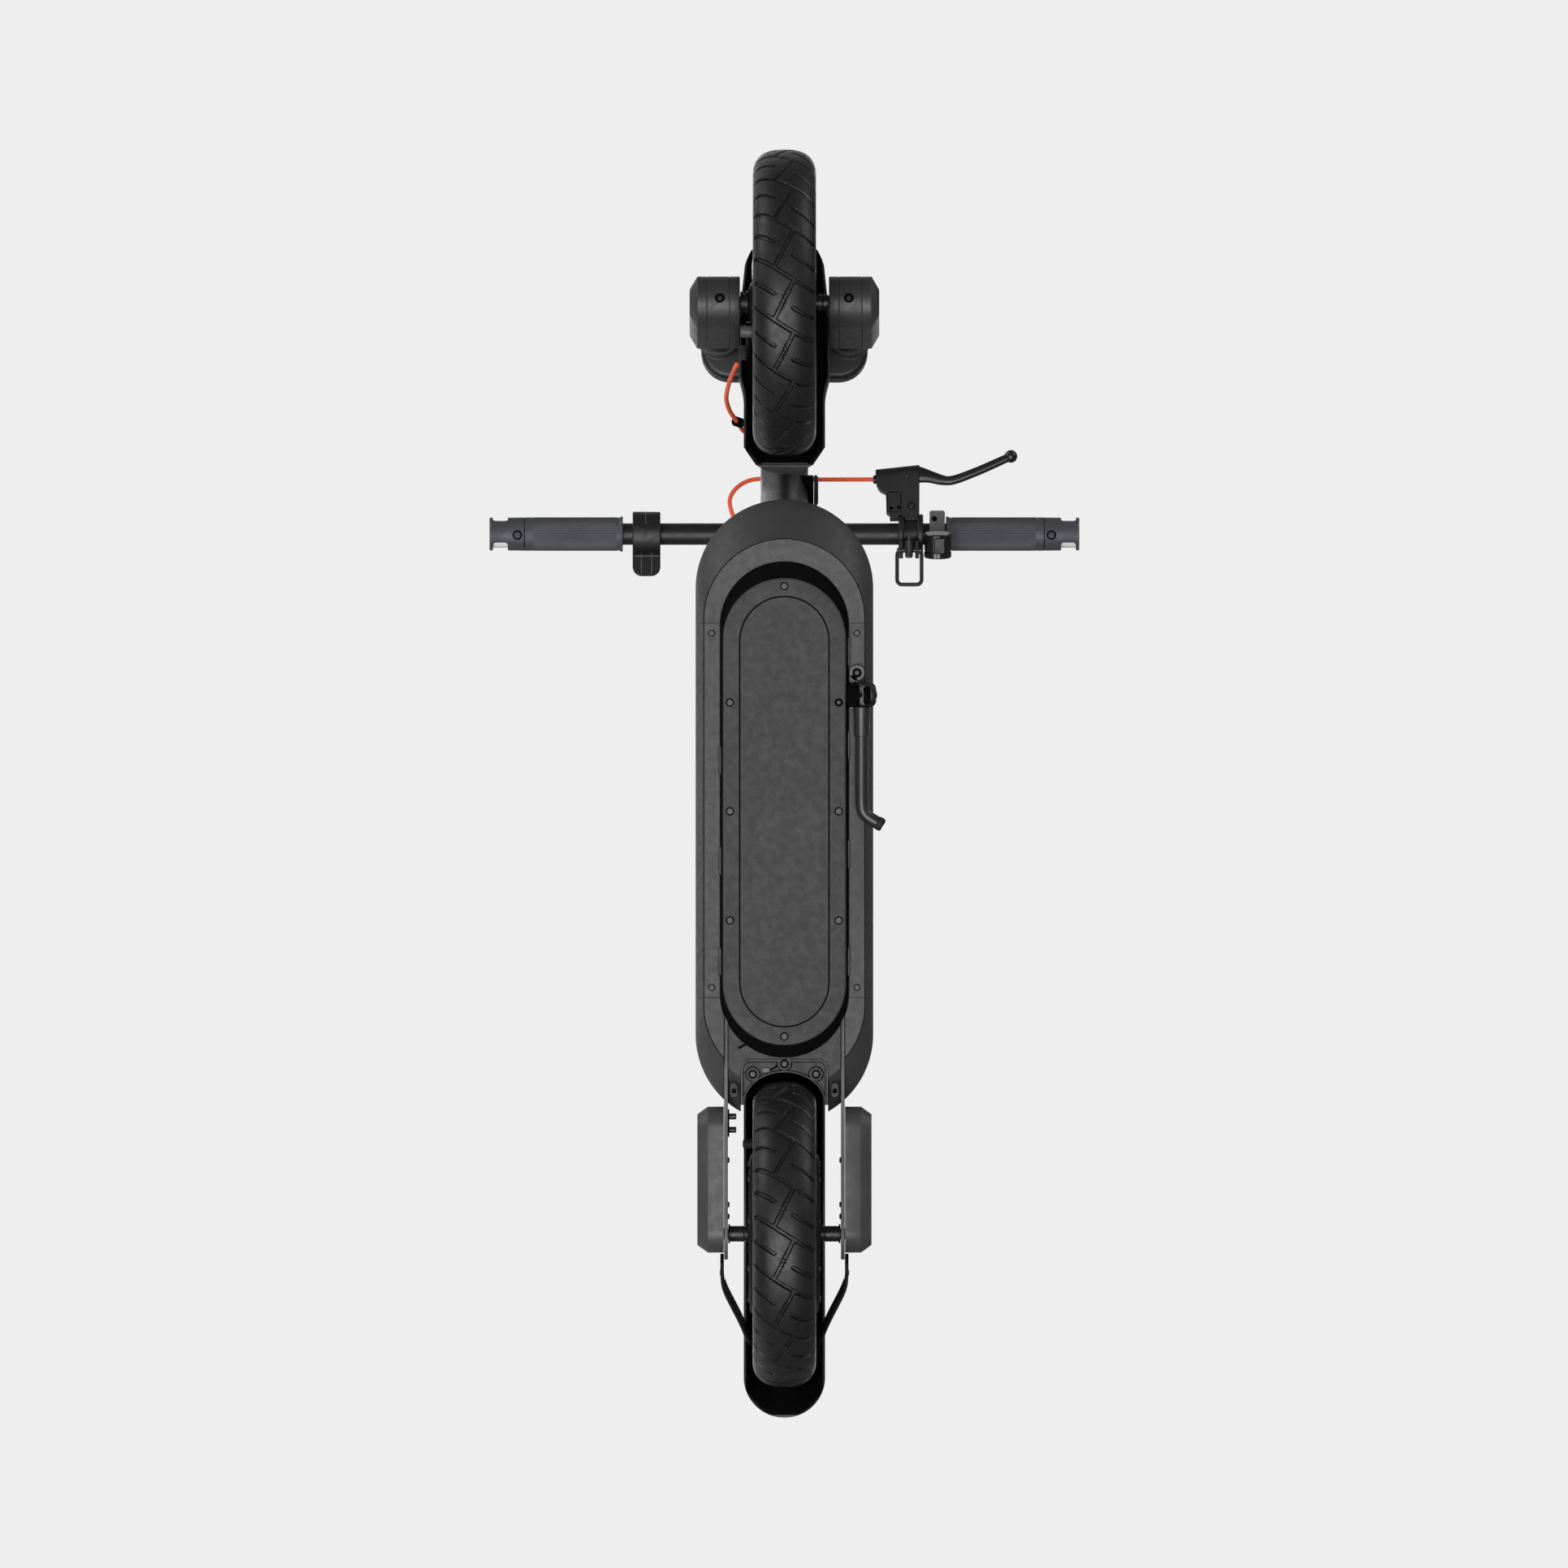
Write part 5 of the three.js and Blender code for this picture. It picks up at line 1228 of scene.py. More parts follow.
def crown_outline(inset):
    return rounded(-18 + inset, 40 - inset, -77 + inset, 77 - inset, 27 - inset, 12)


def fork_crown():
    low = extent("fork_crown", STEER)[0][2]
    levels = []
    for turn in np.radians(np.linspace(0, 90, 7)):
        levels.append((crown_outline(5 * (1 - math.sin(turn))), low + 5 * (1 - math.cos(turn))))
    for turn in np.radians(np.linspace(0, 90, 7)):
        levels.append((crown_outline(7 * (1 - math.cos(turn))), low + 22 + 8 * math.sin(turn)))
    add("crown", loft(levels), "steerer", "black_alloy", STEER, stands_for=["fork_crown"], sharp=30)
    neck_ring = lathe([(24, 28), (22.5, 34), (22, 40), (22, 44), (21.4, 44.7)], 72)
    add("crown_race", upright(neck_ring).moved(z=low), "steerer", "black_alloy", STEER)
    tube = lathe([(15, 40), (15, 134.6), (14, 135.2)], 64)
    add("steerer_tube", upright(tube).moved(z=low), "steerer", "dark_steel", STEER)


def fork_legs():
    low, high = extent("fork_leg_left", STEER)
    rise = high[2] - low[2]
    profile = [(14.5, 0), (15.6, 0.5), (15.6, rise - 40), (16.5, rise - 38), (16.5, rise)]
    leg = upright(lathe(profile, 72)).moved(FORK_OFFSET, LEG_Y, low[2])
    for name, side in SIDES.items():
        add(f"leg_{name}", leg.on(side), "steerer", "black_alloy", STEER, stands_for=[f"fork_leg_{name}"])
    top = extent("fork_crown", STEER)[0][2] - 0.3
    collar = upright(lathe([(18.4, -16.7), (19, -16.2), (20.1, -2.4), (20.9, -2.0), (20.9, -0.4), (20.5, 0)], 72))
    for name, side in SIDES.items():
        add(f"dust_collar_{name}", collar.moved(FORK_OFFSET, LEG_Y, top).on(side), "steerer", "casing_plastic", STEER)


def pod_outline(radius):
    bottom, top = POD_CENTRES
    return rounded(FORK_OFFSET - radius, FORK_OFFSET + radius, bottom - radius, top + radius, radius - 0.01, 22)


def fork_casings():
    """Lower casings: rounded pods with two seams, a broad outer chamfer and a screw in the bottom end."""
    inner, outer, chamfer_r = 41.1, 87.7, 12.2
    levels = [(pod_outline(POD_R - 1.2), inner), (pod_outline(POD_R - 0.3), inner + 0.4), (pod_outline(POD_R), inner + 1.2)]
    for seam in (50.4, 71.6):
        levels += [(pod_outline(POD_R), seam - 0.45), (pod_outline(POD_R - 0.7), seam - 0.2),
                   (pod_outline(POD_R - 0.7), seam + 0.2), (pod_outline(POD_R), seam + 0.45)]
    levels += [(pod_outline(POD_R), 80.2), (pod_outline(POD_R - 0.5), 80.9),
               (pod_outline(chamfer_r + 0.6), outer - 0.4), (pod_outline(chamfer_r - 0.6), outer)]
    pod = side_loft(levels)
    leg_bore = plate(circle(17.3, 64, FORK_OFFSET, LEG_Y), 165, 300)
    screw_hole = plate(circle(4.6, 48, FORK_OFFSET, LEG_Y), 90, POD_CENTRES[0] - POD_R + 2.2)
    pod = carved(pod, leg_bore, screw_hole)
    seal = ring([(16.7, 0), (21.5, 0), (21.5, 3.5), (20.3, 4.6), (18.4, 5.0), (18.0, 7.5), (16.9, 8.5)], 72)
    seal = upright(seal).moved(FORK_OFFSET, LEG_Y, POD_CENTRES[1] + POD_R - 3.5)
    socket_z = POD_CENTRES[0] - POD_R + 2.2
    bolt = under(screw(2.5, 1.4, 0.5), FORK_OFFSET, LEG_Y, socket_z)
    # A dark ring in the hole round the bottom screw: painted shade.
    socket = plate(circle(4.55, 40, FORK_OFFSET, LEG_Y), socket_z - 0.4, socket_z + 0.4)
    for name, side in SIDES.items():
        add(f"casing_{name}", pod.on(side), "unsprung", "casing_plastic", STEER,
            stands_for=[f"fork_casing_{name}"], sharp=30)
        add(f"leg_seal_{name}", seal.on(side), "unsprung", "soft_rubber", STEER)
        add(f"casing_screw_{name}", bolt.on(side), "unsprung", "dark_steel", STEER)
        add(f"casing_hole_shade_{name}", socket.on(side), "unsprung", "near_black_and_painted_shade", STEER)


def front_axle():
    half = [(6, 20), (6, 31), (7.6, 31), (7.6, 34.4), (6.9, 34.8), (6.9, 35.6), (7.6, 36), (7.6, 40.6), (6, 40.8),
            (6, 69)]
    add("axle", lathe(both_ways(half), 48), "unsprung", "dark_steel", FRONT_HUB, 0.2, ["front_axle"])


FRONT_FENDER_R = 156.0


def fender_cut(inset):
    """The front fender's plan over the ground: a rounded nose and a chamfered, rounded rear end."""
    tail, corner, start = 286 + inset, 15.5 - inset * 0.4, 26.6 - inset * 0.7
    half = [(tail, 0), (tail + 0.7, corner * 0.6), (tail + 2.2, corner), (294.5 + inset, start),
            (311.6 + inset, 38.2 - inset), (314, 46), (466, 46), (474, 38.2), (484, 35), (492, 31.2), (498, 26)]
    return np.array(half + [(x, -y) for x, y in reversed(half[1:])])


def fender_half_width(x):
    """Half the front fender's width at a place along the ground: wider beside the fork."""
    return float(np.interp(x, [300, 346, 356, 368, 416, 432, 450, 472, 500],
                           [37.6, 37.6, 39.0, 42.0, 42.4, 41.6, 39.8, 37.6, 35.0]))


def fender_arch(radius, inset, depth, wall, start, end, steps, shoulder=9.0):
    """A channel bent over the front wheel, its width following the fender's plan; in ground coordinates."""
    loops = []
    for turn in np.radians(np.linspace(start, end, steps)):
        u, w = FORK_OFFSET + radius * math.cos(turn), 154.4 + radius * math.sin(turn)
        half = fender_half_width((STEER @ Vector((u, 0, w))).x) - inset
        section = np.array(channel_section(radius, half, depth, wall, shoulder))
        x, z = section[:, 0] * math.cos(turn), section[:, 0] * math.sin(turn)
        loops.append(np.column_stack([FORK_OFFSET + x, section[:, 1], 154.4 + z]))
    return in_ground_space(skin(loops), STEER)


def front_fender():
    arch = shared(fender_arch(FRONT_FENDER_R, 0, 18, 2.2, 57, 186, 130), plate(fender_cut(0), 0, 600))
    add("fender_front", arch, "steerer", "fender_plastic", stands_for=["front_fender"], sharp=30)
    # A black skin inside the channel: painted shade.
    dark_shade_skin = fender_arch(FRONT_FENDER_R - 2.25, 2.25, 15.2, 1.2, 58, 184.5, 130)
    dark_shade_skin = shared(dark_shade_skin, plate(fender_cut(2.2), 0, 600))
    add("fender_front_painted_shade", dark_shade_skin, "steerer", "near_black_and_painted_shade", sharp=30)
    lip = fender_arch(FRONT_FENDER_R - 3.5, 3.4, 12, 1.3, 163, 185, 30, 6)
    add("fender_front_lip", shared(lip, plate(fender_cut(3.2), 0, 600)), "steerer", "fender_plastic", sharp=30)
    low = extent("fork_crown", STEER)[0][2]
    mount = block(-4, 34, -14, 14, 154.4 + FRONT_FENDER_R - 3, low - 0.3, 0.8, 4)
    add("fender_front_mount", mount, "steerer", "black_plastic", STEER)


# ---------------------------------------------------------------- drum brake


def drum_brake():
    """The backing plate with its ribs, the bearing tube, the cam's stub and the cable anchor's rubber boot."""
    disc = ring([(6.4, -26.3), (41.2, -26.3), (41.5, -27.5), (41.0, -29.2), (36, -30), (20, -29.4), (17, -31.5),
                 (13.5, -32.5), (9, -34), (6.4, -34)], 96)
    ribs = []
    for i in range(8):
        rib = block(18, 37, -0.9, 0.9, 0, 1.3, 0.3).turned(90, "X").moved(y=-29.2)
        ribs.append(rib.turned(45 * i + 20, "Y"))
    add("drum_plate", disc + total(ribs), "unsprung", "dark_steel", FRONT_HUB, stands_for=["brake_plate"], sharp=30)
    collar = lathe([(8.6, -34), (11, -34.2), (11, -36), (8.6, -36.3), (8.6, -38.4), (10.4, -38.6), (10.4, -40.4),
                    (9.6, -40.8)], 48)
    add("brake_collar", collar, "unsprung", "black_alloy", FRONT_HUB)
    stub = lathe([(5.6, -29.5), (5.6, -40.2), (4.8, -40.8)], 40)
    add("cam_cylinder", stub.moved(-29, 0, -9), "unsprung", "plate_paint", FRONT_HUB, 0.2)
    boot = lathe([(4.2, 0), (4.6, 3), (3.6, 4), (4.4, 6), (3.4, 7.2), (4.0, 9), (3.0, 10.5), (2.6, 13)], 32)
    boot = boot.turned(90, "Z").moved(-44, -37.4, -16)
    add("brake_cable_boot", boot, "unsprung", "soft_rubber", FRONT_HUB)


def brake_arm():
    pivot = joint_at("brake_arm_pivot")
    spot = STEER.inverted() @ pivot
    hub = lathe([(6.6, -36.2), (7, -35.6), (7, -31), (6.6, -30.5)], 48)
    arm = side_loft([(rounded(-4.6, 4.6, -2, 30, 4.2, 6), -35.8), (rounded(-4.6, 4.6, -2, 30, 4.2, 6), -32.6)])
    nut = outward(hex_nut(7.5, 1.8, 2.2), 0, -36.2, 0, -1)
    whole = hub + arm.turned(math.degrees(-0.45), "Y") + nut
    add("brake_arm_lever", whole.moved(spot.x, 0, spot.z), "brake_arm", "black_paint", STEER, 0.25, ["brake_arm"])


def lower_cable():
    """The brake cable's lower run, from the crown down to the drum."""
    ground = [(387.4, -44.0, 118.0), (378.5, -48.0, 150.0), (368.6, -51.6, 182.0), (356.0, -53.7, 215.0),
              (344.0, -50.3, 250.0), (334.0, -43.3, 285.0), (326.0, -37.9, 320.0), (322.0, -30.0, 352.0)]
    cable = rod(ground, 2.1, 10, 20, (0, 1, 0))
    obj = add("lower_brake_cable", cable, None, "cable_orange")
    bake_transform(obj)
    clip = ring([(2.2, -5.5), (4.0, -5.5), (4.6, -4.5), (4.6, 4.5), (4.0, 5.5), (2.2, 5.5)], 32)
    clip = clip.turned(58, "X").turned(-12, "Y").moved(334.0, -42.6, 285.0)
    add("cable_clip", clip, "steerer", "near_black_and_painted_shade")


# ---------------------------------------------------------------- fold hinge and stem


def fold_hinge():
    low, high = extent("stem_base", STEER)
    pin_z = (STEER.inverted() @ joint_at("stem_fold")).z
    collar = upright(lathe([(23, low[2]), (24, low[2] + 1), (24, 467), (22.8, 468.6)], 96))
    ears = []
    for side in SIDES.values():
        outline = rounded(-19, 19, 458, pin_z + 19, 18.9, 14)
        small = shrunk(outline, 0.8)
        ears.append(side_loft([(small, 16), (outline, 16.8), (outline, 23.2), (small, 24)]).on(side))
    lugs = [block(18, 34, y - 2, y + 2, 453.2, 465.5, 0.5, 2) for y in (-12, 12)]
    add("hinge_base", total([collar] + ears + lugs), "steerer", "frame_paint", STEER, stands_for=["stem_base"])
    pin = lathe([(4.2, -26.8), (5, -26), (5, 26), (4.2, 26.8)], 40).moved(0, 0, pin_z)
    heads = outward(screw(8.2, 2.8, 0.55), 0, 24.1, pin_z) + outward(screw(8.2, 2.8, 0.55), 0, -24.1, pin_z, -1)
    add("hinge_pin", pin + heads, "steerer", "steel", STEER, stands_for=["fold_pin"])


def fold_lever():
    pivot = STEER.inverted() @ joint_at("fold_lever_pivot")
    hub = lathe([(4.2, -9.4), (4.7, -8.8), (4.7, 8.8), (4.2, 9.4)], 40).moved(pivot.x, 0, pivot.z)
    outline = rounded(-9.6, 9.6, pivot.z + 1, pivot.z + 70, 8, 10)
    handle = front_loft([(shrunk(outline, 0.8), 26), (outline, 26.8), (outline, 29.6), (shrunk(outline, 1.6), 31)])
    slot = front_loft([(rounded(-4, 4, pivot.z + 22, pivot.z + 58, 3.9, 8), 20),
                       (rounded(-4, 4, pivot.z + 22, pivot.z + 58, 3.9, 8), 40)])
    add("fold_handle", carved(handle, slot) + hub, "fold_lever", "black_alloy", STEER, stands_for=["fold_lever"])
    bolt = outward(screw(3.4, 1.6), pivot.x, 14, pivot.z) + outward(screw(3.4, 1.6), pivot.x, -14, pivot.z, -1)
    add("fold_lever_bolts", bolt, "steerer", "dark_steel", STEER)


def stem():
    low, high = extent("stem_tube", STEER)
    bottom, top = low[2] + 46, high[2]
    levels = [(22, 0), (23, 1.2), (23, 22), (22.4, 23), (22.4, 24.4), (22.9, 25.4)]
    profile = [(r, bottom + z) for r, z in levels] + [(19, top - 22), (19, top - 21), (20.4, top - 20), (20.4, top)]
    tube = upright(lathe(profile, 96))
    pin_z = (STEER.inverted() @ joint_at("stem_fold")).z
    outline = rounded(-18, 18, pin_z - 18, bottom + 6, 15, 14)
    knuckle = side_loft([(shrunk(outline, 0.8), -15.6), (outline, -14.8), (outline, 14.8), (shrunk(outline, 0.8), 15.6)])
    add("stem_column", tube, "stem", "frame_paint", STEER, stands_for=["stem_tube"])
    add("stem_knuckle", knuckle, "stem", "frame_paint", STEER)
    grommet = lathe([(4.8, 17.5), (5.2, 19.5), (4.6, 21.4), (3.0, 21.8)], 40).turned(-90, "Z")
    add("stem_cable_grommet", grommet.moved(0, 0, top - 40), "stem", "soft_rubber", STEER)


# ---------------------------------------------------------------- handlebar


def ground_reach(x, z=0.0):
    """The cockpit's x at a place that stands over the ground's x, at height z in the cockpit."""
    forward = COCKPIT.to_3x3() @ Vector((1, 0, 0))
    return (x - COCKPIT.translation.x - z * STEER_UP.x) / forward.x


def dash():
    low, high = extent("dash_housing", COCKPIT)
    top = high[2]
    sections = [(-33.7, 22, -19, 21, 13), (-33.0, 24, -20, 22, 14), (-24, 29.5, -22.5, 24.5, 14), (-14, 33, -24, 26, 14),
                (0, 34, -25.5, 26, 14), (top - 18, 34, -26, 26, 14), (top - 9, 33.2, -25.4, 24, 13),
                (top - 2.5, 32, -24.4, 21.4, 12), (top - 0.8, 31.2, -23.6, 20.4, 11.4), (top, 30, -22.6, 19.2, 10.4)]
    body = loft([(rounded(x0, x1, -y, y, corner, 12), z) for z, y, x0, x1, corner in sections])
    screen = plate(rounded(-5.2, 16.5, -24.5, 24.5, 2.5, 6), top - 1.6, top + 5)
    well = plate(circle(7.5, 48, -13, 0), top - 6, top + 5)
    bar_hole = lathe([(10.3, -60), (10.3, 60)], 64)
    add("dash_body", carved(body, screen, well, bar_hole), "stem", "black_plastic", COCKPIT,
        stands_for=["dash_housing"], sharp=30)
    glass = plate(rounded(-4.9, 16.2, -24.2, 24.2, 2.2, 6), top - 1.5, top + 0.1, 0.3)
    add("display_cover", glass, "stem", "display_glass", COCKPIT, stands_for=["display_panel"])
    digits(top + 0.1)
    button = plate(circle(7, 56, -13, 0), top - 3, top + 1.2, 0.7)
    mark = loft([(circle(2.6, 32, -13, 0), top + 1.1), (circle(2.3, 32, -13, 0), top + 1.4)])
    add("button_cap", button, "power_button", "soft_rubber", COCKPIT, stands_for=["power_button"])
    add("button_mark", mark, "power_button", "reflector", COCKPIT)


SEGMENTS = {"top": (4.4, 0, 0), "middle": (0, 0, 0), "bottom": (-4.4, 0, 0), "upper_left": (2.2, 2.2, 1),
            "upper_right": (2.2, -2.2, 1), "lower_left": (-2.2, 2.2, 1), "lower_right": (-2.2, -2.2, 1)}
DIGITS = {2: ("top", "upper_right", "middle", "lower_left", "bottom"),
          5: ("top", "upper_left", "middle", "lower_right", "bottom")}


def digits(z):
    """A speed of two digits and a row of charge bars."""
    lit = []
    for digit, y in ((2, 4.2), (5, -4.2)):
        for name in DIGITS[digit]:
            dx, dy, tall = SEGMENTS[name]
            long_x, long_y = (1.9, 0.5) if tall else (0.5, 1.8)
            x = 8.0 + dx
            lit.append(block(x - long_x, x + long_x, y + dy - long_y, y + dy + long_y, z, z + 0.12, 0.04, 0.3))
    for i in range(5):
        y = 8.0 - 4.0 * i
        lit.append(block(-2.4, -0.8, y - 1.6, y + 1.6, z, z + 0.12, 0.04, 0.3))
    add("display_figures", total(lit), "stem", "display_segments", COCKPIT)


def headlight():
    low, high = extent("headlight", COCKPIT)
    x0, z_mid = low[0], (low[2] + high[2]) / 2
    half_y, half_z = high[1], (high[2] - low[2]) / 2

    def outline(inset):
        return rounded(-half_y + inset, half_y - inset, z_mid - half_z + inset, z_mid + half_z - inset, 9 - inset, 10)

    bezel = front_loft([(outline(0), x0 - 1.5), (outline(0), x0 + 2.4), (outline(0.8), x0 + 3.2),
                        (outline(2.2), x0 + 3.2), (outline(2.6), x0 + 1.2)])
    lens = front_loft([(outline(2.6), x0 + 0.8), (outline(2.6), x0 + 2.6), (outline(4.2), x0 + 3.9),
                       (outline(6.5), x0 + 4.5)])
    add("headlight_bezel", bezel, "stem", "gloss_plastic", COCKPIT)
    add("headlight_lens", lens, "stem", "clear_lens", COCKPIT, stands_for=["headlight"], sharp=50)


def bar():
    half_length = extent("handlebar", COCKPIT)[1][1]
    tube = lathe(both_ways([(10, half_length - 0.6), (9.4, half_length)]), 72)
    add("bar_tube", tube, "stem", "black_alloy", COCKPIT, stands_for=["handlebar"])


def ribbed_ring(radius, y, ribs, depth, count):
    turn = np.linspace(0, 2 * math.pi, count, endpoint=False)
    r = radius - depth * (0.5 - 0.5 * np.cos(ribs * turn)) ** 2
    return np.column_stack([r * np.cos(turn), np.full(count, y), r * np.sin(turn)])


def grips():
    """Rubber grips with fine lines along them and a flange at the inner end."""
    low, high = extent("grip_left", COCKPIT)
    inner, outer, radius, flange = low[1], high[1], 15.5, high[2]
    ribs, count = 60, 480
    stations = [(10.4, 0, 0), (flange - 0.6, 0, 0), (flange, 0.5, 0), (flange, 1.6, 0), (flange - 0.8, 2.4, 0),
                (radius - 0.1, 3.2, 0), (radius - 0.2, 5.0, 0), (radius, 5.8, 0.5), (radius, 40, 0.5),
                (radius, 82, 0.5), (radius - 0.2, 83.4, 0), (radius - 0.1, 84.4, 0), (radius, 86, 0),
                (radius, outer - inner - 0.3, 0), (radius - 0.4, outer - inner, 0), (10.4, outer - inner, 0)]
    loops = [ribbed_ring(r, inner + y, ribs, depth, count) for r, y, depth in stations]
    grip = skin(loops)
    for name, side in SIDES.items():
        add(f"grip_rubber_{name}", grip.on(side), "stem", "grip_rubber", COCKPIT, stands_for=[f"grip_{name}"])


def signals():
    """Bar-end turn signals: a hub with a window front and rear, a flange and a screw."""
    low, high = extent("signal_left", COCKPIT)
    inner, end = low[1], high[1]
    flange_from = end - 2.9
    body = lathe([(15.0, inner + 0.25), (15.4, inner + 0.65), (15.2, 256), (14.6, flange_from - 1.6),
                  (15.2, flange_from), (15.2, end - 0.9), (14.6, end)], 96)
    windows = []
    for direction in (1, -1):
        outline = rounded(9.8, 22, 255.6, 269.4, 2.6, 6) * (direction, 1)
        windows.append(plate(outline, -12, 12))
        screw_x = ground_reach(227.0)
    well = plate(circle(4.5, 40, screw_x, 246.7), -20, -13.9)
    shell = carved(body, well, *windows)
    lens = lathe([(13.0, 255.0), (13.0, flange_from + 0.2)], 64)
    keep = [plate(rounded(9.2, 22, 255.2, 269.6, 2.0, 5) * (d, 1), -12.4, 12.4) for d in (1, -1)]
    lens = shared(lens, keep[0] + keep[1])
    head = under(screw(3.1, 1.0, 0.3), screw_x, 246.7, -13.9)
    # A dark disc in the screw's well is painted shade; the thin ring at the inner end is a dark seam.
    dark = plate(circle(4.45, 40, screw_x, 246.7), -14.1, -13.6)
    seam = ring([(14.0, inner - 0.4), (15.2, inner - 0.4), (15.2, inner + 0.3), (14.0, inner + 0.3)])
    for name, side in SIDES.items():
        add(f"signal_body_{name}", shell.on(side), "stem", "grip_rubber", COCKPIT,
            stands_for=[f"signal_{name}"], sharp=30)
        add(f"signal_lens_{name}", lens.on(side), "stem", "clear_lens", COCKPIT)
        add(f"signal_screw_{name}", head.on(side), "stem", "grip_rubber", COCKPIT)
        add(f"signal_shade_and_seam_{name}", (dark + seam).on(side), "stem", "near_black_and_painted_shade", COCKPIT)


THROTTLE_SPLIT = -127.8


def throttle():
    low, high = extent("throttle_housing", COCKPIT)
    outer, radius = low[1], high[2]
    clamp = lathe([(radius - 0.8, outer), (radius, outer + 0.8), (radius, THROTTLE_SPLIT - 0.3)], 96)
    add("throttle_clamp", carved(clamp, lathe([(10.3, -160), (10.3, -100)], 64)), "stem", "black_plastic", COCKPIT,
        stands_for=["throttle_housing"])
    low, high = extent("throttle_lever", COCKPIT)
    inner = high[1]
    hub = lathe([(20.6, THROTTLE_SPLIT - 0.25), (20.6, inner - 0.8), (19.8, inner)], 96)
    hub = carved(hub, lathe([(10.6, -160), (10.6, -100)], 64))
    outline = rounded(low[0], -12, outer, inner, 8.6, 12)
    paddle = plate(outline, -7, -1, 0.7)
    tray = plate(rounded(low[0] + 1.3, -14, outer + 1.3, inner - 1.3, 7.4, 12), -9, -5.4)
    paddle = carved(paddle, tray)
    ribs = [block(low[0] + 1.2, -13, y - 0.45, y + 0.45, -6.9, -5, 0.15) for y in (-132.0, -122.6)]
    ribs.append(block(-22.4, -21.4, outer + 1, inner - 1, -6.9, -5, 0.15))
    fine = [block(low[0] + 2.4, -14, y - 0.28, y + 0.28, -6.1, -5, 0.12) for y in np.arange(-138.2, -116.0, 1.55)]
    add("throttle_fine_ribs", total(fine), "throttle_lever", "black_plastic", COCKPIT)
    add("throttle_hub", hub, "throttle_lever", "black_plastic", COCKPIT, stands_for=["throttle_lever"])
    add("throttle_paddle", paddle, "throttle_lever", "black_plastic", COCKPIT, sharp=30)
    add("throttle_ribs", total(ribs), "throttle_lever", "plate_paint", COCKPIT)
    grub_x = ground_reach(220.4)
    boss = plate(circle(2.9, 36, grub_x, -119), -12.5, -4, 0.3)
    add("throttle_screw", under(screw(2.3, 1.2), grub_x, -119, -12.4) + boss, "throttle_lever", "dark_steel", COCKPIT)


# ---------------------------------------------------------------- brake lever, latch loop, bell, cable


def over_ground(points):
    """Cockpit plan points from (ground x, y) points."""
    return np.array([(ground_reach(x), y) for x, y in points])


def bracket_arm():
    """The brake perch's plan, from the bar to its sloped front edge."""
    points = [(241.8, 111.6), (244.6, 109.6), (243.6, 107.4), (243.6, 97.6), (248.0, 97.0), (249.6, 94.2),
              (267.4, 93.8), (270.2, 88.6), (273, 86.2), (277, 84.9), (281, 84.4), (289, 84.4), (290.4, 98),
              (292.0, 112), (293.2, 124.8), (270, 124.8), (245.6, 124.6), (241.8, 122.6)]
    return over_ground(points)


def brake_perch():
    outline = bracket_arm()
    arm = loft([(shrunk(outline, 0.9), -8), (shrunk(outline, 0.3), -7.6), (outline, -6.4), (outline, 7.2),
                (shrunk(outline, 0.4), 8.6), (shrunk(outline, 0.9), 9)])
    slot = plate(over_ground([(270.5, 103), (300, 103), (300, 130), (270.5, 130)]), -4.4, 4.4)
    arm = carved(arm, slot, lathe([(10.3, 60), (10.3, 160)], 72))
    add("brake_perch", arm, "stem", "black_plastic", COCKPIT, 0.4, ["brake_bracket"], sharp=30)
    add("brake_perch_band", perch_band(), "stem", "black_paint", COCKPIT, sharp=40)
    hinge = latch_hinge()
    brake_clamp(hinge)
    perch_fasteners(hinge)


def latch_hinge():
    return COCKPIT.inverted() @ joint_at("latch_loop_pivot")


def brake_clamp(hinge):
    """Two bands round the bar with a bridge between them, ears for the latch, and its middle lug."""
    bands = [lathe([(17.5, a), (18.3, a + 0.8), (18.3, b - 0.8), (17.5, b)], 96)
             for a, b in ((105.4, 110.0), (122.9, 128.2))]
    bridge = lathe([(13.6, 109.4), (13.6, 123.4)], 72)
    bore = lathe([(10.3, 90), (10.3, 140)], 64)
    lug = block(hinge.x - 5, hinge.x + 9, 111.4, 118.8, hinge.z - 4.6, -11, 1.2, 2)
    ears = [block(hinge.x - 4, -11, y - 1.9, y + 1.9, hinge.z - 2, -4, 0.6) for y in (107.8, 122.6)]
    parts = [carved(part, bore) for part in bands + [bridge]] + [lug] + ears
    add("brake_clamp", total(parts), "stem", "black_plastic", COCKPIT, sharp=30)


def perch_band():
    """The glossy rounded nose along the perch's front edge."""
    path = over_ground([(285.8, 84.2), (286.8, 98), (288.4, 112), (289.4, 124.8)])
    turn = np.radians(np.linspace(-90, 90, 13))
    outline = [(math.cos(t) * 4.0, math.sin(t) * 9.2) for t in turn] + [(-3.5, 9.2), (-3.5, -9.2)]
    loops = []
    for x, y in path:
        loops.append(np.array([(x + dx, y, dz + 0.4) for dx, dz in outline]))
    nose = skin(loops)
    return carved(nose, plate(over_ground([(270.5, 103), (300, 103), (300, 130), (270.5, 130)]), -4.4, 4.4))


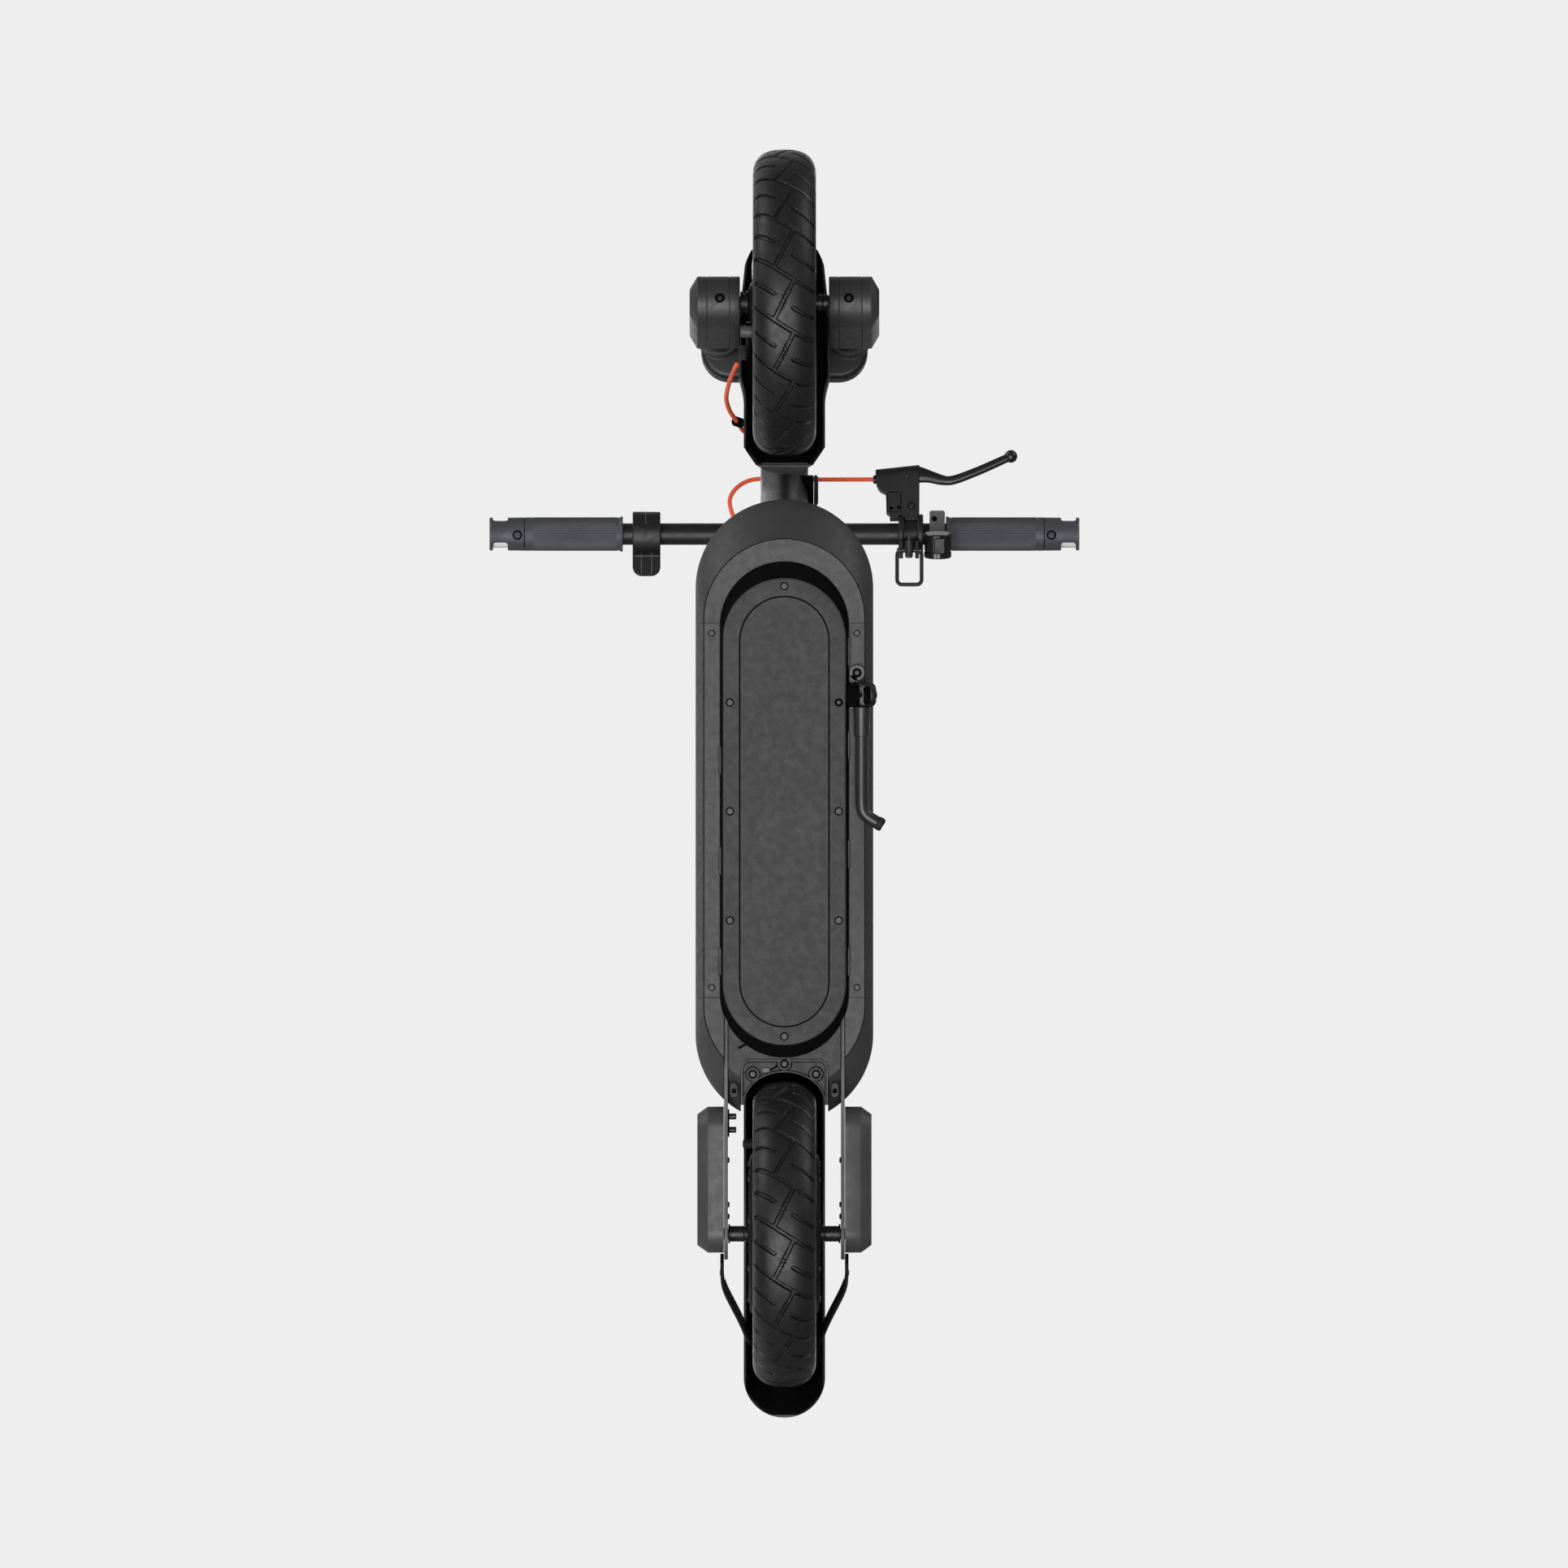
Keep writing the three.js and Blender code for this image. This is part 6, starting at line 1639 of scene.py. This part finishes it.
def perch_fasteners(hinge):
    """The switch insert, its screws, the clamp bolt and the cable barrel."""
    outline = over_ground([(249.8, 94.6), (267.0, 94.6), (268.2, 97.5), (268.4, 105.4), (266.8, 107.8), (249.8, 108.2)])
    add("brake_switch", plate(shrunk(outline, 0.7), -8.5, -6), "stem", "black_plastic", COCKPIT, 0.3)
    # Dark plates under the switch insert's edge and round the clamp screw: painted shade in the gaps.
    gap = plate(outline, -8.15, -7.5) + plate(circle(3.5, 40, ground_reach(255.2), 117.4), -8.2, -7.5)
    add("brake_switch_painted_shade", gap, "stem", "near_black_and_painted_shade", COCKPIT)
    z = -8.6
    small = [under(screw(1.7, 0.7), ground_reach(x, z), y, z) for x, y in ((254.6, 98.8), (255.2, 105.8))]
    add("brake_switch_screws", total(small), "stem", "near_black_and_painted_shade", COCKPIT)
    add("brake_clamp_screw", under(screw(2.6, 1.1), ground_reach(255.2), 117.4, -8.0), "stem", "dark_steel", COCKPIT)
    barrel = lathe([(3.4, 82.0), (4.2, 82.4), (4.2, 83.2), (3.7, 83.6), (4.2, 84.0), (4.2, 85.0)], 36)
    add("cable_barrel", barrel.moved(ground_reach(281.0)), "stem", "gloss_plastic", COCKPIT)
    cross = [lathe([(2.2, 104), (2.2, 127)], 24).moved(hinge.x, 0, hinge.z)]
    add("latch_hinge_pin", total(cross), "stem", "dark_steel", COCKPIT)
    bolt = lathe([(1.3, -27), (1.3, -8), (1.0, -7.6)], 20).turned(-90, "Z")
    add("brake_clamp_bolts", bolt.moved(0, 115.1, hinge.z - 3.6), "stem", "steel", COCKPIT)


def brake_lever():
    """The lever blade, swept as an oval along its curve, with a ball at the end."""
    line = over_ground([(285.5, 113), (285.4, 124), (283.6, 134), (280.6, 145), (280.0, 153), (283.0, 164),
                        (291.0, 184), (302.0, 208.4)])
    path = smooth_path([(x, y, 0) for x, y in line], 8)
    half = np.interp(np.linspace(0, 1, len(path)), [0, 0.12, 0.3, 0.5, 0.62, 0.9, 1], [6.8, 8.0, 5.6, 4.3, 4.2, 4.0, 3.8])
    loops = []
    along = np.gradient(path, axis=0)
    turn = np.linspace(0, 2 * math.pi, 32, endpoint=False)
    for point, ahead, width in zip(path, along, half):
        across = np.array((ahead[1], -ahead[0], 0)) / np.linalg.norm(ahead)
        ring_x = width * np.sign(np.cos(turn)) * np.abs(np.cos(turn)) ** 0.8
        ring_z = 4.0 * np.sign(np.sin(turn)) * np.abs(np.sin(turn)) ** 0.7
        loops.append(point + np.outer(ring_x, across) + np.outer(ring_z, (0, 0, 1)))
    blade = skin(loops)
    pivot = COCKPIT.inverted() @ joint_at("brake_lever_pivot")
    hub = loft([(circle(6.6, 48, pivot.x, pivot.y), -4), (circle(7, 48, pivot.x, pivot.y), -3.6),
                (circle(7, 48, pivot.x, pivot.y), 3.6), (circle(6.6, 48, pivot.x, pivot.y), 4)])
    turns = np.linspace(-88, 88, 17)
    ball = lathe([(6 * math.cos(math.radians(t)), 6 * math.sin(math.radians(t))) for t in turns], 40)
    ball = ball.moved(ground_reach(302.4), 209.3, 0)
    add("lever_blade", blade, "brake_lever", "black_paint", COCKPIT, stands_for=["brake_lever"], sharp=60)
    add("lever_hub", hub, "brake_lever", "black_paint", COCKPIT)
    add("lever_ball", ball, "brake_lever", "black_paint", COCKPIT, sharp=60)
    bolt = under(screw(3.4, 1.4), pivot.x, pivot.y, -8.0)
    add("lever_pivot_bolt", bolt, "stem", "dark_steel", COCKPIT)


def latch_loop():
    """A flat-sided wire loop hung on its hinge."""
    low, high = extent("latch_loop", COCKPIT)
    hinge = latch_hinge()
    width = 3.5
    outline = rounded(low[0] + width / 2, hinge.x, low[1] + width / 2, high[1] - width / 2, 4.6, 8)
    centre = np.array([(x, y, hinge.z) for x, y in outline])
    loops = []
    ahead = np.roll(centre, -1, 0) - np.roll(centre, 1, 0)
    section = rounded(-width / 2, width / 2, -1.6, 1.6, 1.1, 5)
    for point, along in zip(centre, ahead):
        across = np.array((along[1], -along[0], 0)) / np.linalg.norm(along)
        loops.append(point + np.outer(section[:, 0], across) + np.outer(section[:, 1], (0, 0, 1)))
    add("latch_wire", skin(loops, closed=True), "latch_loop", "black_alloy", COCKPIT, stands_for=["latch_loop"])


def bell():
    """A strap round the bar, and a bell whose dome lies along the bar's front-to-back line."""
    low, high = extent("bell_body", COCKPIT)
    strap_from, strap_to = 134.1, 148.3
    strap = lathe([(17.6, strap_from), (18.4, strap_from + 0.8), (18.4, strap_to - 0.8), (17.6, strap_to)], 96)
    tongue = block(ground_reach(230), ground_reach(248.9), strap_from, strap_to, -18.2, -9, 0.6, 2)
    strap = combined(strap, [tongue], "UNION")
    strap = carved(strap, lathe([(10.3, 120), (10.3, 160)], 64))
    add("bell_strap", strap, "stem", "plate_paint", COCKPIT, stands_for=["bell_body"], sharp=30)
    foot = block(-14, -4, 136, 147.2, -22, -14, 0.8)
    add("bell_foot", foot, "stem", "black_plastic", COCKPIT)
    cup = lathe([(11.6, -11.3), (12.2, -10.6), (12.4, -9.8), (12.4, 4.8), (11.2, 5.2), (11.2, 6.0), (12.6, 6.2),
                 (12.7, 7.0), (12.7, 10.6), (12.0, 11.3)], 96)
    add("bell_cup", cup.turned(90, "Z"), "stem", "gloss_plastic", BELL, sharp=30)
    face = lathe([(11.4, 0), (11.4, 0.25)], 96).turned(-90, "Z").moved(11.2)
    add("bell_face", face, "stem", "bell_alloy", BELL)
    pin = under(screw(2.5, 0.8), ground_reach(244.7, -18), 138.6, -18.2)
    add("bell_screw", pin, "stem", "near_black_and_painted_shade", COCKPIT)
    outline = rounded(-6, 9, -3.4, 6.8, 1.6, 6)
    thumb = loft([(shrunk(outline, 0.9), -15.8), (outline, -15.0), (outline, -13.3), (shrunk(outline, 0.3), -13.0)])
    add("bell_thumb", thumb, "bell_lever", "black_plastic", BELL, stands_for=["bell_lever"])


def upper_cable():
    """The orange brake cable from the lever's barrel into the stem."""
    ground = [(281, 82.6, 0), (281, 70, -2), (281, 50, -8), (281, 31, -14), (281.2, 5, -20), (281.6, -22.9, -26),
              (278.4, -36.6, -28.5), (271.5, -45.8, -31), (262.9, -50.4, -34), (254, -49.6, -38),
              (247, -46.4, -42)]
    path = [(ground_reach(x, z), y, z) for x, y, z in ground] + [(8, -38, -47), (0, -28, -52)]
    add("upper_brake_cable", rod(path, 2, 8, 20), "stem", "cable_orange", COCKPIT, stands_for=["brake_cable"])


# ---------------------------------------------------------------- studio


def world_light():
    """Flat pale background for the camera; soft boxes and a gradient for everything else."""
    world = bpy.data.worlds.new("studio")
    bpy.context.scene.world = world
    world.use_nodes = True
    n = Nodes(world.node_tree)
    direction = n.node("ShaderNodeTexCoord").outputs["Generated"]
    lobes = [((-0.26, -0.15, -0.95), 0.86, 0.985, 6.5),
             ((0.62, -0.78, -0.05), 0.88, 0.985, 2.3),
             ((0.62, 0.78, -0.05), 0.90, 0.985, 1.9),
             ((0.36, -0.30, 0.88), 0.80, 0.98, 0.5),
             ((0.0, 0.0, 1.0), 0.965, 0.995, 4.5),
             ((-0.45, -0.70, 0.55), 0.70, 0.98, 0.4)]
    light = 0.15
    for axis, start, full, strength in lobes:
        aim = tuple(Vector(axis).normalized())
        dot = n.node("ShaderNodeVectorMath", {0: direction, 1: aim}, operation="DOT_PRODUCT").outputs["Value"]
        light = n.math("ADD", n.ramp(dot, start, full, 0.0, strength), light)
    lit = n.node("ShaderNodeBackground", {"Color": (1, 1, 1, 1), "Strength": light}).outputs[0]
    seen = n.node("ShaderNodeBackground", {"Color": grey(238), "Strength": 1.0}).outputs[0]
    is_camera = n.node("ShaderNodeLightPath").outputs["Is Camera Ray"]
    mixed = n.node("ShaderNodeMixShader", {0: is_camera, 1: lit, 2: seen}).outputs[0]
    n.node("ShaderNodeOutputWorld", {"Surface": mixed})


def floor():
    """A pale floor that is seen from above only, so that the underside view looks through it."""
    half = 6.0
    corners = [(-half, -half, 0), (half, -half, 0), (half, half, 0), (-half, half, 0)]
    mesh = bpy.data.meshes.new("floor")
    mesh.from_pydata(corners, [], [(0, 1, 2, 3)])
    obj = bpy.data.objects.new("floor", mesh)
    bpy.context.scene.collection.objects.link(obj)
    made = bpy.data.materials.new("floor")
    made.use_nodes = True
    n = Nodes(made.node_tree)
    camera_ray = n.node("ShaderNodeLightPath").outputs["Is Camera Ray"]
    behind = n.node("ShaderNodeNewGeometry").outputs["Backfacing"]
    shown = n.math("MULTIPLY", camera_ray, n.math("SUBTRACT", 1.0, behind))
    clear = n.node("ShaderNodeBsdfTransparent").outputs[0]
    matt = n.node("ShaderNodeBsdfDiffuse", {"Color": grey(150)}).outputs[0]
    even = n.node("ShaderNodeEmission", {"Color": grey(205), "Strength": 1.0}).outputs[0]
    pale = n.node("ShaderNodeAddShader", {0: matt, 1: even}).outputs[0]
    surface = n.node("ShaderNodeMixShader", {0: shown, 1: clear, 2: pale}).outputs[0]
    n.node("ShaderNodeOutputMaterial", {"Surface": surface})
    mesh.materials.append(made)


def camera():
    """Looks straight up at the underside, without perspective; one image pixel spans 0.75 mm."""
    image_size, pixel = 1932, 0.00075
    data = bpy.data.cameras.new("camera")
    data.type, data.ortho_scale = "ORTHO", image_size * pixel
    data.clip_end = 20.0
    obj = bpy.data.objects.new("camera", data)
    bpy.context.scene.collection.objects.link(obj)
    turn = Matrix(((0, 1, 0), (1, 0, 0), (0, 0, -1))).to_4x4()
    obj.matrix_world = Matrix.Translation((-pixel / 2, -pixel / 2, -3.0)) @ turn
    bpy.context.scene.camera = obj
    bpy.context.scene.view_settings.view_transform = "Standard"


# ---------------------------------------------------------------- everything


def hidden_parts():
    dress_cad("battery_pack", "battery_wrap")
    dress_cad("controller", "raw_alloy")
    dress_cad("motor_stator", "raw_alloy")
    dress_cad("headset_bearing_lower", "steel")
    dress_cad("headset_bearing_upper", "steel")


def build():
    make_materials()
    hidden_parts()
    for part in (hull, recess_floor, hull_crease, clip_tabs, lid, deck_mat, neck, head_tube, charge_port, wheels, rear_plates, rear_covers,
                 plate_fasteners, rear_bracket, bracket_lugs, rear_fender, fender_stay, tail_light, kickstand,
                 kickstand_bracket, fork_crown, fork_legs, fork_casings, front_axle, front_fender, drum_brake,
                 brake_arm, lower_cable, fold_hinge, fold_lever, stem, dash, headlight, bar, grips, signals,
                 throttle, brake_perch, brake_lever, latch_loop, bell, upper_cable):
        part()


build()
world_light()
floor()
camera()
